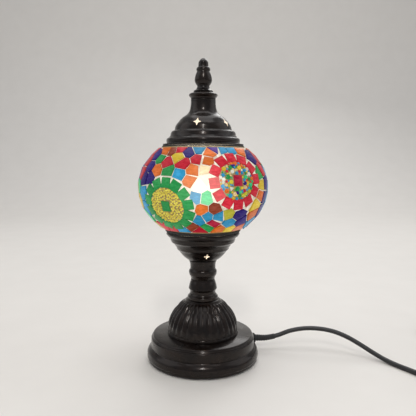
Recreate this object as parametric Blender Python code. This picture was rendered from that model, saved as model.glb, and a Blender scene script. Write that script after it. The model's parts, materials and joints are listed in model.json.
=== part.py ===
"""A mosaic glass table lamp: a turned metal foot and stem, an open-ended glass globe between a
lower cup and a pierced cap, a bulb on a lampholder inside, and a mains cord with switch and plug.

The lamp's axis is Z through the origin, and it stands on Z = 0. All sizes here are millimetres.
"""

import math

import bmesh
import bpy
from mathutils import Euler, Matrix, Vector

MM = 0.001
GAP = 0.3
SHARP_ANGLE = math.radians(38)

# Globe: an ellipsoid of glass with mosaic on it, open at both ends.
MOSAIC_R = 65.0
MOSAIC_HALF_HEIGHT = 52.8
MOSAIC_THICKNESS = 2.1
GLASS_THICKNESS = 2.4
GLOBE_Z = 177.2
MOSAIC_TOP_Z = 216.9
MOSAIC_FOOT_Z = 135.3
LIP_R = 34.0
LIP_TOP_Z = 222.0
LIP_FOOT_Z = 130.4

# Stem: everything on it is clamped on one hollow threaded tube.
TUBE_R = 5.0
TUBE_BORE_R = 3.6
TUBE_FOOT_Z = 10.2
TUBE_TOP_Z = 118.6
HOLE_R = TUBE_R + GAP

BASE_TOP_Z = 26.8
DOME_FOOT_Z = BASE_TOP_Z + GAP
VASE_FOOT_Z = 62.8
NECK_FOOT_Z = 83.5
CUP_FOOT_Z = 103.1
CUP_FLOOR_Z = 106.2
CUP_RIM_Z = 131.8
FLUTES = 32
FLUTE_DEPTH = 1.3

# Cap, with its collar and finial, on a threaded stud.
CAP_BRIM_Z = 218.9
CAP_TOP_Z = 263.6
STUD_R = 2.0
STUD_HOLE_R = 2.4
HARP_TOP_Z = 253.4
CUP_STARS = 4
CAP_STARS = 5
CAP_STAR_Z = 240.5
CAP_STAR_TURN = -103.0
CAP_STAR_REACH = 3.9
CUP_STAR_Z = 110.0
CUP_STAR_TURN = -80.0
CUP_STAR_REACH = 3.1

# Bulb.
BULB_R = 22.5
BULB_Z = 180.5
BULB_INNER = 0.955
BULB_PITCH = 2.82

# Cord.
CORD_R = 2.4
GROMMET_TURN = 19.0
GROMMET_Z = 13.0
GROMMET_BODY_R = 4.2
GROMMET_BORE_R = CORD_R + 0.5
COIL_CENTRE = (284.0, 2.0)
COIL_TURN_R = 26.5
COIL_WIDTH = 14.8
COIL_HEIGHT = 14.8
COIL_EDGE = 2.2
SWITCH_PLACE = (268.0, -67.0)
SWITCH_SIZE = (60.0, 25.0, 18.0)
ROCKER_LENGTH = 16.0
ROCKER_WIDTH = 10.0
ROCKER_PIVOT_Z = 12.0
ROCKER_TILT = 10.0
PLUG_PLACE = (299.0, 78.0)
PLUG_HEIGHT = 13.6

CORD_TO_SWITCH = [
    (46.4, 16.0, 13.0),
    (51.5, 17.7, 13.0),
    (57.0, 19.6, 12.9),
    (68.5, 21.9, 12.0),
    (81.5, 22.8, 14.3),
    (94.5, 23.2, 19.0),
    (107.5, 23.1, 21.6),
    (120.0, 21.9, 22.5),
    (132.5, 19.3, 22.0),
    (144.0, 15.0, 20.2),
    (155.0, 8.8, 16.8),
    (165.5, 1.6, 12.0),
    (175.5, -6.6, 7.0),
    (184.2, -16.2, 3.6),
    (192.0, -27.0, 2.4),
    (199.5, -38.2, 2.4),
    (207.5, -50.0, 2.7),
    (217.5, -60.2, 4.6),
    (228.0, -65.8, 7.6),
    (237.5, -67.0, 9.0),
]
CORD_TO_COIL = [
    (298.7, -67.0, 9.0),
    (302.0, -67.0, 8.8),
    (310.4, -65.3, 7.6),
    (317.6, -60.6, 5.6),
    (322.3, -53.4, 3.8),
    (324.0, -45.0, 2.8),
    (323.9, -33.0, 2.5),
    (322.8, -15.0, 2.5),
    (320.6, 4.5, 2.5),
]
CORD_TO_PLUG = [
    (284.0, 39.2, 7.6),
    (276.0, 39.0, 5.3),
    (266.2, 41.6, 3.6),
    (259.1, 48.8, 2.7),
    (256.5, 58.5, 2.6),
    (259.1, 68.2, 3.4),
    (266.2, 75.4, 5.0),
    (275.4, 78.0, 6.6),
    (278.7, 78.0, 6.8),
]
INNER_LEAD = [
    (46.0, 15.8, 13.0),
    (38.0, 13.0, 12.0),
    (27.0, 9.3, 8.6),
    (16.0, 5.5, 6.2),
    (8.0, 2.7, 5.8),
    (3.2, 1.1, 6.6),
    (0.7, 0.2, 8.7),
    (0.0, 0.0, 12.0),
    (0.0, 0.0, 60.0),
    (0.0, 0.0, 119.4),
]

BRONZE = ((0.022, 0.014, 0.011), 0.28, 1.0)
STEEL = ((0.45, 0.45, 0.46), 0.4, 1.0)
IRON = ((0.09, 0.09, 0.095), 0.7, 1.0)
BRASS = ((0.72, 0.53, 0.22), 0.3, 1.0)
GLASS = ((0.93, 0.95, 0.94), 0.08, 0.0)
MOSAIC = ((0.75, 0.22, 0.12), 0.25, 0.0)
BLACK_RUBBER = ((0.02, 0.02, 0.02), 0.75, 0.0)
BLACK_PLASTIC = ((0.018, 0.018, 0.02), 0.4, 0.0)
PHENOLIC = ((0.05, 0.045, 0.04), 0.5, 0.0)
CERAMIC = ((0.82, 0.8, 0.74), 0.35, 0.0)
FELT = ((0.03, 0.06, 0.045), 0.95, 0.0)
HOT_WIRE = ((1.0, 0.72, 0.35), 0.5, 0.0)


def clear_scene():
    for old in list(bpy.data.objects):
        bpy.data.objects.remove(old, do_unlink=True)


def dress(obj, look):
    """Gives the object a material of its own."""
    colour, roughness, metallic = look
    material = bpy.data.materials.new(obj.name)
    material.use_nodes = True
    shader = material.node_tree.nodes["Principled BSDF"]
    shader.inputs["Base Color"].default_value = (*colour, 1.0)
    shader.inputs["Roughness"].default_value = roughness
    shader.inputs["Metallic"].default_value = metallic
    obj.data.materials.clear()
    obj.data.materials.append(material)


def add_object(name, mesh, look, place=(0.0, 0.0, 0.0)):
    obj = bpy.data.objects.new(name, mesh)
    bpy.context.scene.collection.objects.link(obj)
    obj.location = Vector(place) * MM
    dress(obj, look)
    return obj


def shade(mesh):
    mesh.shade_smooth()
    mesh.set_sharp_from_angle(angle=SHARP_ANGLE)


def settle(obj):
    """Makes the modifiers' result the object's own mesh, shaded smooth between its edges."""
    bpy.context.view_layer.update()
    graph = bpy.context.evaluated_depsgraph_get()
    obj.data = bpy.data.meshes.new_from_object(obj.evaluated_get(graph))
    obj.modifiers.clear()
    shade(obj.data)


def outline(*stops, count=4):
    """Points (r, z) through the stops. A stop (r, z, swell) is reached along a curve that swells
    to the left of its way, which is outwards on the way down an outer side."""
    points = [stops[0][:2]]
    for stop in stops[1:]:
        start = Vector(points[-1])
        way = Vector(stop[:2]) - start
        swell = stop[2] if len(stop) > 2 else 0.0
        side = Vector((-way.y, way.x)).normalized() * swell
        steps = count if swell else 1
        for i in range(1, steps + 1):
            t = i / steps
            points.append(tuple(start + way * t + side * 4 * t * (1 - t)))
    return points


def turned(name, points, look, steps=40):
    """A solid of revolution about Z. The points run down its outer side and up its inner side,
    or from the axis to the axis when it has no bore."""
    low = min(z for r, z in points)
    on_axis = points[0][0] == 0
    mesh = bpy.data.meshes.new(name)
    links = [(i, i + 1) for i in range(len(points) - 1)]
    if not on_axis:
        links.append((len(points) - 1, 0))
    mesh.from_pydata([(r * MM, 0.0, (z - low) * MM) for r, z in points], links, [])
    obj = add_object(name, mesh, look, (0.0, 0.0, low))
    screw = obj.modifiers.new("turn", "SCREW")
    screw.steps = steps
    screw.render_steps = steps
    screw.use_merge_vertices = True
    screw.merge_threshold = 0.00001
    settle(obj)
    return obj


def ring(name, inner_r, outer_r, low, high, look, steps=24):
    points = [(outer_r, high), (outer_r, low), (inner_r, low), (inner_r, high)]
    return turned(name, points, look, steps)


def prism(name, corners, low, high, look, place=(0.0, 0.0, 0.0)):
    """An upright prism on a flat outline of (x, y) corners, anticlockwise."""
    shape = bmesh.new()
    face = shape.faces.new([shape.verts.new((x * MM, y * MM, low * MM)) for x, y in corners])
    moved = bmesh.ops.extrude_face_region(shape, geom=[face])["geom"]
    tops = [item for item in moved if isinstance(item, bmesh.types.BMVert)]
    bmesh.ops.translate(shape, verts=tops, vec=(0.0, 0.0, (high - low) * MM))
    bmesh.ops.recalc_face_normals(shape, faces=shape.faces)
    mesh = bpy.data.meshes.new(name)
    shape.to_mesh(mesh)
    shape.free()
    obj = add_object(name, mesh, look, place)
    shade(mesh)
    return obj


def rounded_rectangle(length, width, radius, count=3):
    """Corners (x, y), anticlockwise, of a rectangle about the origin with round corners."""
    corners = []
    for quarter, (sx, sy) in enumerate([(1, 1), (-1, 1), (-1, -1), (1, -1)]):
        centre = (sx * (length / 2 - radius), sy * (width / 2 - radius))
        for i in range(count + 1):
            angle = math.radians(90 * (quarter + i / count))
            corners.append((centre[0] + radius * math.cos(angle), centre[1] + radius * math.sin(angle)))
    return corners


def cut(obj, cutters):
    """Cuts the helpers' shapes out of the object and keeps the helpers out of the model."""
    for cutter in cutters:
        cutter.hide_render = True
        cutter.display_type = "WIRE"
        boolean = obj.modifiers.new("cut", "BOOLEAN")
        boolean.operation = "DIFFERENCE"
        boolean.solver = "EXACT"
        boolean.object = cutter


def smooth_path(route, spacing):
    """Points about spacing apart on a smooth curve through the route's own points."""
    stops = [Vector(stop) for stop in route]
    stops = [2 * stops[0] - stops[1], *stops, 2 * stops[-1] - stops[-2]]
    points = [stops[1]]
    for before, start, end, after in zip(stops, stops[1:], stops[2:], stops[3:]):
        steps = max(1, round((end - start).length / spacing))
        for i in range(1, steps + 1):
            t = i / steps
            bend = (end - before) * t + (2 * before - 5 * start + 4 * end - after) * t**2
            twist = (3 * start - before - 3 * end + after) * t**3
            points.append(start + (bend + twist) / 2)
    return points


def cord(name, route, look, spacing=5 * CORD_R):
    """A round cord along a route of (x, y, z) points."""
    curve = bpy.data.curves.new(name, "CURVE")
    curve.dimensions = "3D"
    curve.bevel_depth = CORD_R * MM
    curve.bevel_resolution = 2
    curve.use_fill_caps = True
    points = smooth_path(route, spacing)
    spline = curve.splines.new("POLY")
    spline.points.add(len(points) - 1)
    for knot, point in zip(spline.points, points):
        knot.co = (*(point * MM), 1.0)
    return add_object(name, curve, look)


def ellipse_r(half_width, half_height, z):
    """The radius at height z of an ellipsoid centred on the globe."""
    return half_width * math.sqrt(1 - ((z - GLOBE_Z) / half_height) ** 2)


def ellipse_side(inset, start_z, end_z, count):
    """Points of a globe surface that lies inset inside the mosaic's, between two heights."""
    half_width = MOSAIC_R - inset
    half_height = MOSAIC_HALF_HEIGHT - inset
    points = []
    for i in range(count + 1):
        z = start_z + (end_z - start_z) * (1 - math.cos(math.pi * i / count)) / 2
        points.append((ellipse_r(half_width, half_height, z), z))
    return points


def star_cutters(name, count, first_turn, reach, radius, height, depth):
    """Four-pointed stars with hollow sides, standing round the axis and pointing outwards."""
    corners = []
    for i in range(8):
        angle = math.radians(45 * i)
        far = reach if i % 2 == 0 else reach * 0.42
        corners.append((far * math.cos(angle), far * math.sin(angle)))
    cutters = []
    for i in range(count):
        turn = math.radians(first_turn + 360 * i / count)
        cutter = prism(f"{name}_{i + 1}", corners, -depth, depth, BRONZE)
        cutter.location = Vector((math.cos(turn) * radius, math.sin(turn) * radius, height)) * MM
        cutter.rotation_euler = Euler((0.0, math.radians(90), turn))
        cutters.append(cutter)
    return cutters


def make_foot():
    """The felt pad, bottom plate, stepped shell and the weight inside it."""
    ring("felt_pad", 9.0, 51.6, 0.0, 1.6, FELT, 36)
    ring("bottom_plate", 8.0, 53.0, 1.9, 3.1, STEEL, 36)
    shell = turned(
        "base_shell",
        outline(
            (50.4, BASE_TOP_Z), (51.4, 25.2, 0.3), (53.0, 22.4, 0.6), (53.2, 14.8), (57.2, 6.0, 1.6),
            (54.8, 1.0, 1.0), (53.8, 1.4), (55.6, 6.0, -0.7), (51.8, 13.6, -1.2), (51.6, 22.4),
            (49.6, 25.2), (HOLE_R, 25.2), (HOLE_R, BASE_TOP_Z), count=2,
        ),
        BRONZE, 40,
    )
    turn = math.radians(GROMMET_TURN)
    bore = ring("grommet_hole", 0.0, GROMMET_BODY_R + GAP, 44.0, 66.0, BRONZE, 20)
    bore.location = Vector((math.cos(turn) * 44, math.sin(turn) * 44, GROMMET_Z)) * MM
    bore.rotation_euler = Euler((0.0, math.radians(90), turn))
    cut(shell, [bore])
    ring("base_weight", HOLE_R, 45.0, 16.0, 24.9, IRON, 32)
    ring("base_washer", HOLE_R, 10.0, 14.7, 15.7, STEEL, 20)
    hex_nut("base_nut", 11.0, 14.4, 8.4, HOLE_R)


def hex_nut(name, low, high, reach, hole_r, look=STEEL):
    """A hexagonal nut about Z; reach is its radius over the corners."""
    corners = [(reach * math.cos(math.radians(60 * i)), reach * math.sin(math.radians(60 * i)))
               for i in range(6)]
    nut = prism(name, corners, low, high, look)
    cut(nut, [ring(f"{name}_hole", 0.0, hole_r, low - 1, high + 1, look, 18)])
    return nut


def flute_row(radius, height, depth):
    """One row of points round the fluted dome: every second point lies in a flute."""
    row = []
    for i in range(2 * FLUTES):
        angle = math.pi * i / FLUTES
        r = radius - depth * (i % 2)
        row.append((r * math.cos(angle) * MM, r * math.sin(angle) * MM, (height - DOME_FOOT_Z) * MM))
    return row


def make_fluted_dome():
    """The domed lower stem: a smooth shoulder, upright flutes and a plain foot ring, hollow below."""
    shoulder = outline((15.9, 62.5), (23.6, 56.6, 0.9), count=2)
    flutes = outline((26.0, 54.0), (35.7, 36.0, 2.0), (36.0, 30.0), count=3)
    foot = [(36.5, 29.0), (36.5, DOME_FOOT_Z)]
    inside = [(33.2, DOME_FOOT_Z), (33.0, 36.0), (25.6, 48.0), (HOLE_R, 57.6), (HOLE_R, 62.5)]
    rows = [(r, z, 0.0) for r, z in shoulder]
    rows += [(r, z, FLUTE_DEPTH) for r, z in flutes]
    rows += [(r, z, 0.0) for r, z in foot + inside]
    shape = bmesh.new()
    loops = [[shape.verts.new(point) for point in flute_row(*row)] for row in rows]
    for upper, lower in zip(loops, loops[1:] + loops[:1]):
        for i in range(2 * FLUTES):
            shape.faces.new([upper[i - 1], lower[i - 1], lower[i], upper[i]])
    bmesh.ops.recalc_face_normals(shape, faces=shape.faces)
    mesh = bpy.data.meshes.new("fluted_dome")
    shape.to_mesh(mesh)
    shape.free()
    shade(mesh)
    add_object("fluted_dome", mesh, BRONZE, (0.0, 0.0, DOME_FOOT_Z))


def make_stem():
    """The threaded tube and the turned beads that it clamps above the dome."""
    ring("threaded_tube", TUBE_BORE_R, TUBE_R, TUBE_FOOT_Z, TUBE_TOP_Z, STEEL, 20)
    turned(
        "lower_vase",
        outline(
            (12.2, 83.2), (12.2, 82.4), (14.5, 74.8, 0.5), (13.2, 71.0, -0.1), (13.1, 68.6),
            (14.0, 66.6, 0.2), (15.6, 64.4, 0.4), (15.8, VASE_FOOT_Z), (HOLE_R, VASE_FOOT_Z),
            (HOLE_R, 83.2), count=2,
        ),
        BRONZE, 24,
    )
    turned(
        "upper_neck",
        outline(
            (14.2, 102.8), (12.9, 96.0, -0.3), (13.3, 93.0), (14.2, 90.0, 0.3), (12.6, 86.0, 0.4),
            (12.1, NECK_FOOT_Z), (HOLE_R, NECK_FOOT_Z), (HOLE_R, 102.8), count=2,
        ),
        BRONZE, 24,
    )


def make_cup():
    """The stepped cup that carries the globe, pierced with small stars."""
    cup = turned(
        "lower_cup",
        outline(
            (36.8, CUP_RIM_Z), (36.6, 129.2, 0.5), (35.0, 127.4), (33.2, 126.0), (33.0, 124.0),
            (31.6, 121.4, 0.3), (28.6, 118.6), (27.0, 116.6), (26.6, 115.0), (24.4, 112.8),
            (14.6, CUP_FOOT_Z, 0.7), (HOLE_R, CUP_FOOT_Z), (HOLE_R, CUP_FLOOR_Z), (15.2, CUP_FLOOR_Z),
            (22.6, 113.0, -0.4), (26.4, 118.6), (30.6, 123.4, -0.2), (31.0, 126.2), (34.7, 128.0),
            (35.0, CUP_RIM_Z), count=2,
        ),
        BRONZE, 36,
    )
    cut(cup, star_cutters("cup_star", CUP_STARS, CUP_STAR_TURN, CUP_STAR_REACH, 22.0, CUP_STAR_Z, 6.0))


def strap(name, path, widths, thickness, look):
    """A flat strap bent into a closed loop in the XZ plane, with its width at each (x, z) point."""
    spots = [Vector(spot) for spot in path]
    shape = bmesh.new()
    loops = []
    for i, spot in enumerate(spots):
        way = (spots[(i + 1) % len(spots)] - spots[i - 1]).normalized()
        side = Vector((-way.y, way.x)) * thickness / 2
        half = widths[i] / 2
        corners = [(side, -half), (side, half), (-side, half), (-side, -half)]
        loops.append([shape.verts.new(Vector((spot.x + s.x, y, spot.y + s.y)) * MM) for s, y in corners])
    for first, second in zip(loops, loops[1:] + loops[:1]):
        for i in range(4):
            shape.faces.new([first[i - 1], second[i - 1], second[i], first[i]])
    bmesh.ops.recalc_face_normals(shape, faces=shape.faces)
    mesh = bpy.data.meshes.new(name)
    shape.to_mesh(mesh)
    shape.free()
    return add_object(name, mesh, look)


def make_harp():
    """The strap loop round the bulb, clamped on the stem, with the stud that holds the cap."""
    thickness = 1.6
    foot_z = CUP_FLOOR_Z + GAP + thickness / 2
    side = [
        (0.0, foot_z, 15.0), (8.0, foot_z, 15.0), (12.4, foot_z + 0.8, 13.0), (21.0, 117.0, 8.0),
        (25.4, 124.0, 7.0), (26.0, 132.0, 7.0), (26.0, 205.0, 7.0), (24.9, 216.0, 7.0),
        (21.4, 227.0, 7.0), (15.6, 237.0, 7.0), (10.4, 245.6, 7.0), (7.2, 251.6, 7.0),
        (5.2, HARP_TOP_Z, 8.0), (0.0, HARP_TOP_Z, 8.0),
    ]
    loop = side + [(-x, z, width) for x, z, width in reversed(side[1:-1])]
    harp = strap("harp", [(x, z) for x, z, width in loop], [width for x, z, width in loop], thickness, STEEL)
    cut(harp, [
        ring("harp_foot_hole", 0.0, HOLE_R, foot_z - 4, foot_z + 4, STEEL, 20),
        ring("harp_top_hole", 0.0, STUD_HOLE_R, HARP_TOP_Z - 3, HARP_TOP_Z + 3, STEEL, 16),
    ])
    head_z = HARP_TOP_Z - thickness / 2 - GAP
    stud = [(0.0, 278.4), (1.5, 278.4), (STUD_R, 277.8), (STUD_R, head_z), (4.2, head_z),
            (4.2, head_z - 1.5), (0.0, head_z - 1.5)]
    turned("cap_stud", stud, STEEL, 18)
    nut_z = HARP_TOP_Z + thickness / 2 + GAP
    hex_nut("stud_nut", nut_z, nut_z + 3.2, 4.6, STUD_HOLE_R, BRASS)


def make_lampholder():
    """The lampholder screwed on the tube: base, core, contact, screw shell and sleeve."""
    ring("harp_washer", HOLE_R, 9.0, 108.4, 109.4, STEEL, 20)
    hex_nut("stem_nut", 109.7, 113.1, 8.4, HOLE_R, BRASS)
    turned(
        "lampholder_base",
        outline(
            (13.8, 127.0), (13.8, 120.0), (9.0, 113.4, 0.8), (HOLE_R, 113.4), (HOLE_R, 119.0),
            (12.2, 120.2), (12.2, 127.0), count=3,
        ),
        PHENOLIC, 22,
    )
    ring("lampholder_core", 2.8, 11.6, 121.4, 130.7, CERAMIC, 20)
    turned(
        "lampholder_sleeve",
        outline(
            (8.6, 153.0), (13.2, 152.2, 0.3), (14.2, 150.0), (14.2, 127.3), (12.6, 127.3), (12.6, 151.0),
            (8.6, 151.6), count=2,
        ),
        PHENOLIC, 22,
    )
    shell = [(7.9, 150.6), (7.9, 131.0), (7.3, 131.0), (7.3, 150.6)]
    turned("lampholder_screw_shell", shell, BRASS, 20)
    ring("lampholder_contact", 0.0, 3.2, 131.0, 132.6, BRASS, 14)


def make_bulb():
    """A small round bulb on a screw cap, with its stem and filament."""
    turned("bulb_tip", outline((0.0, 135.9), (5.0, 135.9), (3.0, 133.6, 0.3), (1.8, 132.9), (0.0, 132.9)),
           CERAMIC, 18)
    threads = []
    for i in range(4):
        top = 150.6 - i * BULB_PITCH
        threads += [(6.3, top), (6.8, top - BULB_PITCH / 2)]
    turned(
        "bulb_cap",
        [(8.3, 156.6), (8.3, 152.6), *threads, (6.4, 138.6), (5.6, 136.2), (4.2, 136.2), (5.6, 139.4),
         (6.0, 152.6), (7.4, 154.0), (7.4, 156.6)],
        BRASS, 16,
    )
    neck_z = 156.9
    neck_r = 8.2
    arc = []
    start = math.asin(neck_r / BULB_R)
    for i in range(8):
        angle = (math.pi - start) * i / 7
        arc.append((BULB_R * math.sin(angle), BULB_Z + BULB_R * math.cos(angle)))
    arc[0] = (0.0, BULB_Z + BULB_R)
    inner = [(max(0.0, r * BULB_INNER), BULB_Z + (z - BULB_Z) * BULB_INNER) for r, z in reversed(arc)]
    turned("bulb_glass", [*arc, (neck_r, neck_z), (neck_r * BULB_INNER, neck_z), *inner], GLASS, 20)
    stem = outline(
        (0.0, 171.0), (2.6, 169.4, 0.4), (2.0, 160.0, -0.3), (6.6, 155.2, -0.5), (0.0, 155.2), count=2,
    )
    turned("bulb_stem", stem, GLASS, 14)
    make_filament()


def make_filament():
    """A filament bent to an arch over the stem."""
    curve = bpy.data.curves.new("bulb_filament", "CURVE")
    curve.dimensions = "3D"
    curve.bevel_depth = 0.8 * MM
    curve.bevel_resolution = 1
    curve.use_fill_caps = True
    spline = curve.splines.new("POLY")
    spline.points.add(12)
    for i, knot in enumerate(spline.points):
        angle = math.radians(-40 + 260 * i / 12)
        knot.co = (9.0 * math.cos(angle) * MM, 0.0, (181.0 + 9.0 * math.sin(angle)) * MM, 1.0)
    add_object("bulb_filament", curve, HOT_WIRE)


def make_globe():
    """The open glass globe, the mosaic shell on it and the two rubber rings it sits between."""
    glass_outside = MOSAIC_THICKNESS + GAP
    glass_inside = glass_outside + GLASS_THICKNESS
    lip_rise = 41.9
    outer = ellipse_side(glass_outside, GLOBE_Z + lip_rise, GLOBE_Z - lip_rise, 8)
    inner = ellipse_side(glass_inside, GLOBE_Z - lip_rise, GLOBE_Z + lip_rise, 7)
    outer = [(LIP_R, LIP_TOP_Z), *outer, (LIP_R, LIP_FOOT_Z)]
    bore = LIP_R - GLASS_THICKNESS
    turned("glass_globe", [*outer, (bore, LIP_FOOT_Z), *inner, (bore, LIP_TOP_Z)], GLASS, 32)
    mosaic_outer = ellipse_side(0.0, MOSAIC_TOP_Z, MOSAIC_FOOT_Z, 8)
    mosaic_inner = ellipse_side(MOSAIC_THICKNESS, MOSAIC_FOOT_Z, MOSAIC_TOP_Z, 8)
    turned("mosaic_layer", [*mosaic_outer, *mosaic_inner], MOSAIC, 32)
    low = CUP_RIM_Z + GAP
    high = MOSAIC_FOOT_Z - GAP
    turned("globe_seat_ring", outline((38.6, high), (36.6, low, 0.6), (35.2, low), (35.6, high), count=2),
           BLACK_RUBBER, 36)
    low = MOSAIC_TOP_Z + GAP
    high = CAP_BRIM_Z - GAP
    turned("cap_seat_ring", [(40.4, high), (41.2, low), (38.7, low), (36.6, high)], BLACK_RUBBER, 36)


def make_cap():
    """The bell-shaped cap with its stepped rim and pierced stars, and the collar on top of it."""
    cap = turned(
        "top_cap",
        outline(
            (12.2, CAP_TOP_Z), (12.4, 255.6, -0.2), (17.4, 247.8, -0.9), (24.4, 241.6, 0.7),
            (28.2, 234.6, 0.7), (28.8, 233.0), (32.4, 230.4, 0.7), (32.8, 227.8), (34.2, 226.2),
            (36.8, 223.6, 0.8), (36.4, 221.0), (37.0, 220.2), (40.4, 219.8), (40.4, CAP_BRIM_Z),
            (35.2, CAP_BRIM_Z), (34.6, 223.6), (26.6, 234.0), (22.8, 240.6), (15.6, 247.4),
            (10.9, 255.6, 0.8), (10.7, 261.8), (STUD_HOLE_R, 261.8), (STUD_HOLE_R, CAP_TOP_Z), count=2,
        ),
        BRONZE, 36,
    )
    cut(cap, star_cutters("cap_star", CAP_STARS, CAP_STAR_TURN, CAP_STAR_REACH, 23.4, CAP_STAR_Z, 6.0))
    low = CAP_TOP_Z + GAP
    turned(
        "cap_collar",
        outline(
            (9.4, 270.2), (12.8, 269.4, 0.2), (14.1, 267.8, 0.2), (13.6, 266.4), (12.3, low, -0.3),
            (STUD_HOLE_R, low), (STUD_HOLE_R, 270.2), count=2,
        ),
        BRONZE, 24,
    )


def make_finial():
    """The finial on the stud, with the washer it bears on."""
    ring("finial_washer", STUD_HOLE_R, 7.4, 270.5, 271.3, STEEL, 20)
    turned(
        "finial",
        outline(
            (0.0, 303.8), (4.6, 298.4, 1.1), (5.2, 295.2), (7.2, 293.6), (7.3, 292.4, 0.2), (6.8, 290.8),
            (8.8, 283.0, 0.3), (6.0, 277.2, 0.5), (9.0, 272.4, -0.6), (9.0, 271.6),
            (STUD_HOLE_R, 271.6), (STUD_HOLE_R, 280.0), (0.0, 281.0), count=2,
        ),
        BRONZE, 22,
    )


def make_grommet():
    """The rubber grommet that the cord leaves the foot through."""
    turn = math.radians(GROMMET_TURN)
    inner_z = 49.0
    grommet = turned(
        "cord_grommet",
        [(3.6, 59.6), (5.4, 59.2), (5.4, 57.9), (GROMMET_BODY_R, 57.6), (GROMMET_BODY_R, inner_z),
         (GROMMET_BORE_R, inner_z), (GROMMET_BORE_R, 59.6)],
        BLACK_RUBBER, 20,
    )
    grommet.location = Vector((math.cos(turn) * inner_z, math.sin(turn) * inner_z, GROMMET_Z)) * MM
    grommet.rotation_euler = Euler((0.0, math.radians(90), turn))


def make_coil():
    """The outer shape of the wound cord: one turned ring lying on the standing surface."""
    inner = COIL_TURN_R - COIL_WIDTH / 2
    outer = COIL_TURN_R + COIL_WIDTH / 2
    points = [
        (outer, COIL_HEIGHT - COIL_EDGE), (outer, COIL_EDGE), (outer - COIL_EDGE, 0.0),
        (inner + COIL_EDGE, 0.0), (inner, COIL_EDGE), (inner, COIL_HEIGHT - COIL_EDGE),
        (inner + COIL_EDGE, COIL_HEIGHT), (outer - COIL_EDGE, COIL_HEIGHT),
    ]
    coil = turned("cord_coil", points, BLACK_PLASTIC, 24)
    coil.location.x = COIL_CENTRE[0] * MM
    coil.location.y = COIL_CENTRE[1] * MM


def make_switch():
    """The in-line switch: two half cases, a rocker on its pivot and two case screws."""
    length, width, height = SWITCH_SIZE
    place = (*SWITCH_PLACE, 0.0)
    split = height / 2
    corners = rounded_rectangle(length, width, 8.0)
    lower = prism("switch_lower_case", corners, 0.0, split - GAP, BLACK_PLASTIC, place)
    upper = prism("switch_upper_case", corners, split, height, BLACK_PLASTIC, place)
    pocket = prism("rocker_pocket", rounded_rectangle(ROCKER_LENGTH + 3.6, ROCKER_WIDTH + 2 * GAP, 1.0, 1),
                   4.0, height + 4, BLACK_PLASTIC, place)
    screw_spots = [(-22.0, 0.0), (22.0, 0.0)]
    holes = []
    for i, (x, y) in enumerate(screw_spots):
        spot = (place[0] + x, place[1] + y)
        hole = ring(f"case_screw_hole_{i + 1}", 0.0, 2.7, split - 5.0, height + 1, BLACK_PLASTIC, 14)
        hole.location.x = spot[0] * MM
        hole.location.y = spot[1] * MM
        holes.append(hole)
        screw = turned(f"switch_screw_{i + 1}",
                       [(0.0, height - 1.2), (2.4, height - 1.2), (2.4, height - 2.6), (1.2, height - 2.8),
                        (1.2, split - 4.6), (0.0, split - 4.6)], STEEL, 14)
        screw.location.x = spot[0] * MM
        screw.location.y = spot[1] * MM
    cut(lower, [pocket, *holes])
    cut(upper, [pocket, *holes])
    make_rocker(place)


def make_rocker(place):
    """The rocker, lying pressed down at its +X end, on a pivot along Y."""
    reach = ROCKER_LENGTH / 2
    profile = [(reach, 6.6), (0.0, 5.2), (-reach, 6.6), (-reach, 3.0)]
    for i in range(5):
        angle = math.radians(180 + 45 * i)
        profile.append((6.2 * math.cos(angle), 6.2 * math.sin(angle)))
    profile.append((reach, 3.0))
    half = ROCKER_WIDTH / 2
    rocker = prism("switch_rocker", profile, -half, half, BLACK_PLASTIC)
    rocker.location = Vector((place[0], place[1], ROCKER_PIVOT_Z)) * MM
    rocker.rotation_euler = (
        Matrix.Rotation(math.radians(ROCKER_TILT), 3, "Y") @ Matrix.Rotation(math.radians(90), 3, "X")
    ).to_euler()


def make_plug():
    """The flat two-pin plug lying on the standing surface, its pins pointing to +X."""
    place = (*PLUG_PLACE, 0.0)
    face_x = 19.5
    corners = [(-20.0, 5.0), (-20.0, -5.0), (-8.0, -13.0), (4.0, -17.0), (17.5, -15.5), (face_x, -13.0),
               (face_x, 13.0), (17.5, 15.5), (4.0, 17.0), (-8.0, 13.0)]
    prism("plug_body", corners, 0.0, PLUG_HEIGHT, BLACK_PLASTIC, place)
    for i, side in enumerate((-1, 1)):
        pin = turned(f"plug_pin_{i + 1}", [(0.0, 18.6), (1.2, 18.6), (2.0, 17.4), (2.0, 0.0), (0.0, 0.0)],
                     BRASS, 14)
        pin.location = Vector((place[0] + face_x + GAP, place[1] + side * 9.3, PLUG_HEIGHT / 2)) * MM
        pin.rotation_euler = Euler((0.0, math.radians(90), 0.0))


def main():
    clear_scene()
    make_foot()
    make_fluted_dome()
    make_stem()
    make_cup()
    make_harp()
    make_lampholder()
    make_bulb()
    make_globe()
    make_cap()
    make_finial()
    make_grommet()
    cord("inner_lead", INNER_LEAD, BLACK_PLASTIC, spacing=6 * CORD_R)
    cord("cord_to_switch", CORD_TO_SWITCH, BLACK_PLASTIC)
    cord("cord_to_coil", CORD_TO_COIL, BLACK_PLASTIC)
    cord("cord_to_plug", CORD_TO_PLUG, BLACK_PLASTIC)
    make_coil()
    make_switch()
    make_plug()


main()
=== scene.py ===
"""The looks of the mosaic glass table lamp: turned dark-bronze metal, a glass globe covered in
glowing mosaic, the bulb and its holder, and the black cord with its switch and plug.

Lengths in this file are millimetres, turned to metres by MM where a mesh or curve is made."""

import json
import random
from math import asin, copysign, cos, exp, pi, radians, sin, sqrt

import bmesh
import bpy
from mathutils import Euler, Matrix, Vector, noise


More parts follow.
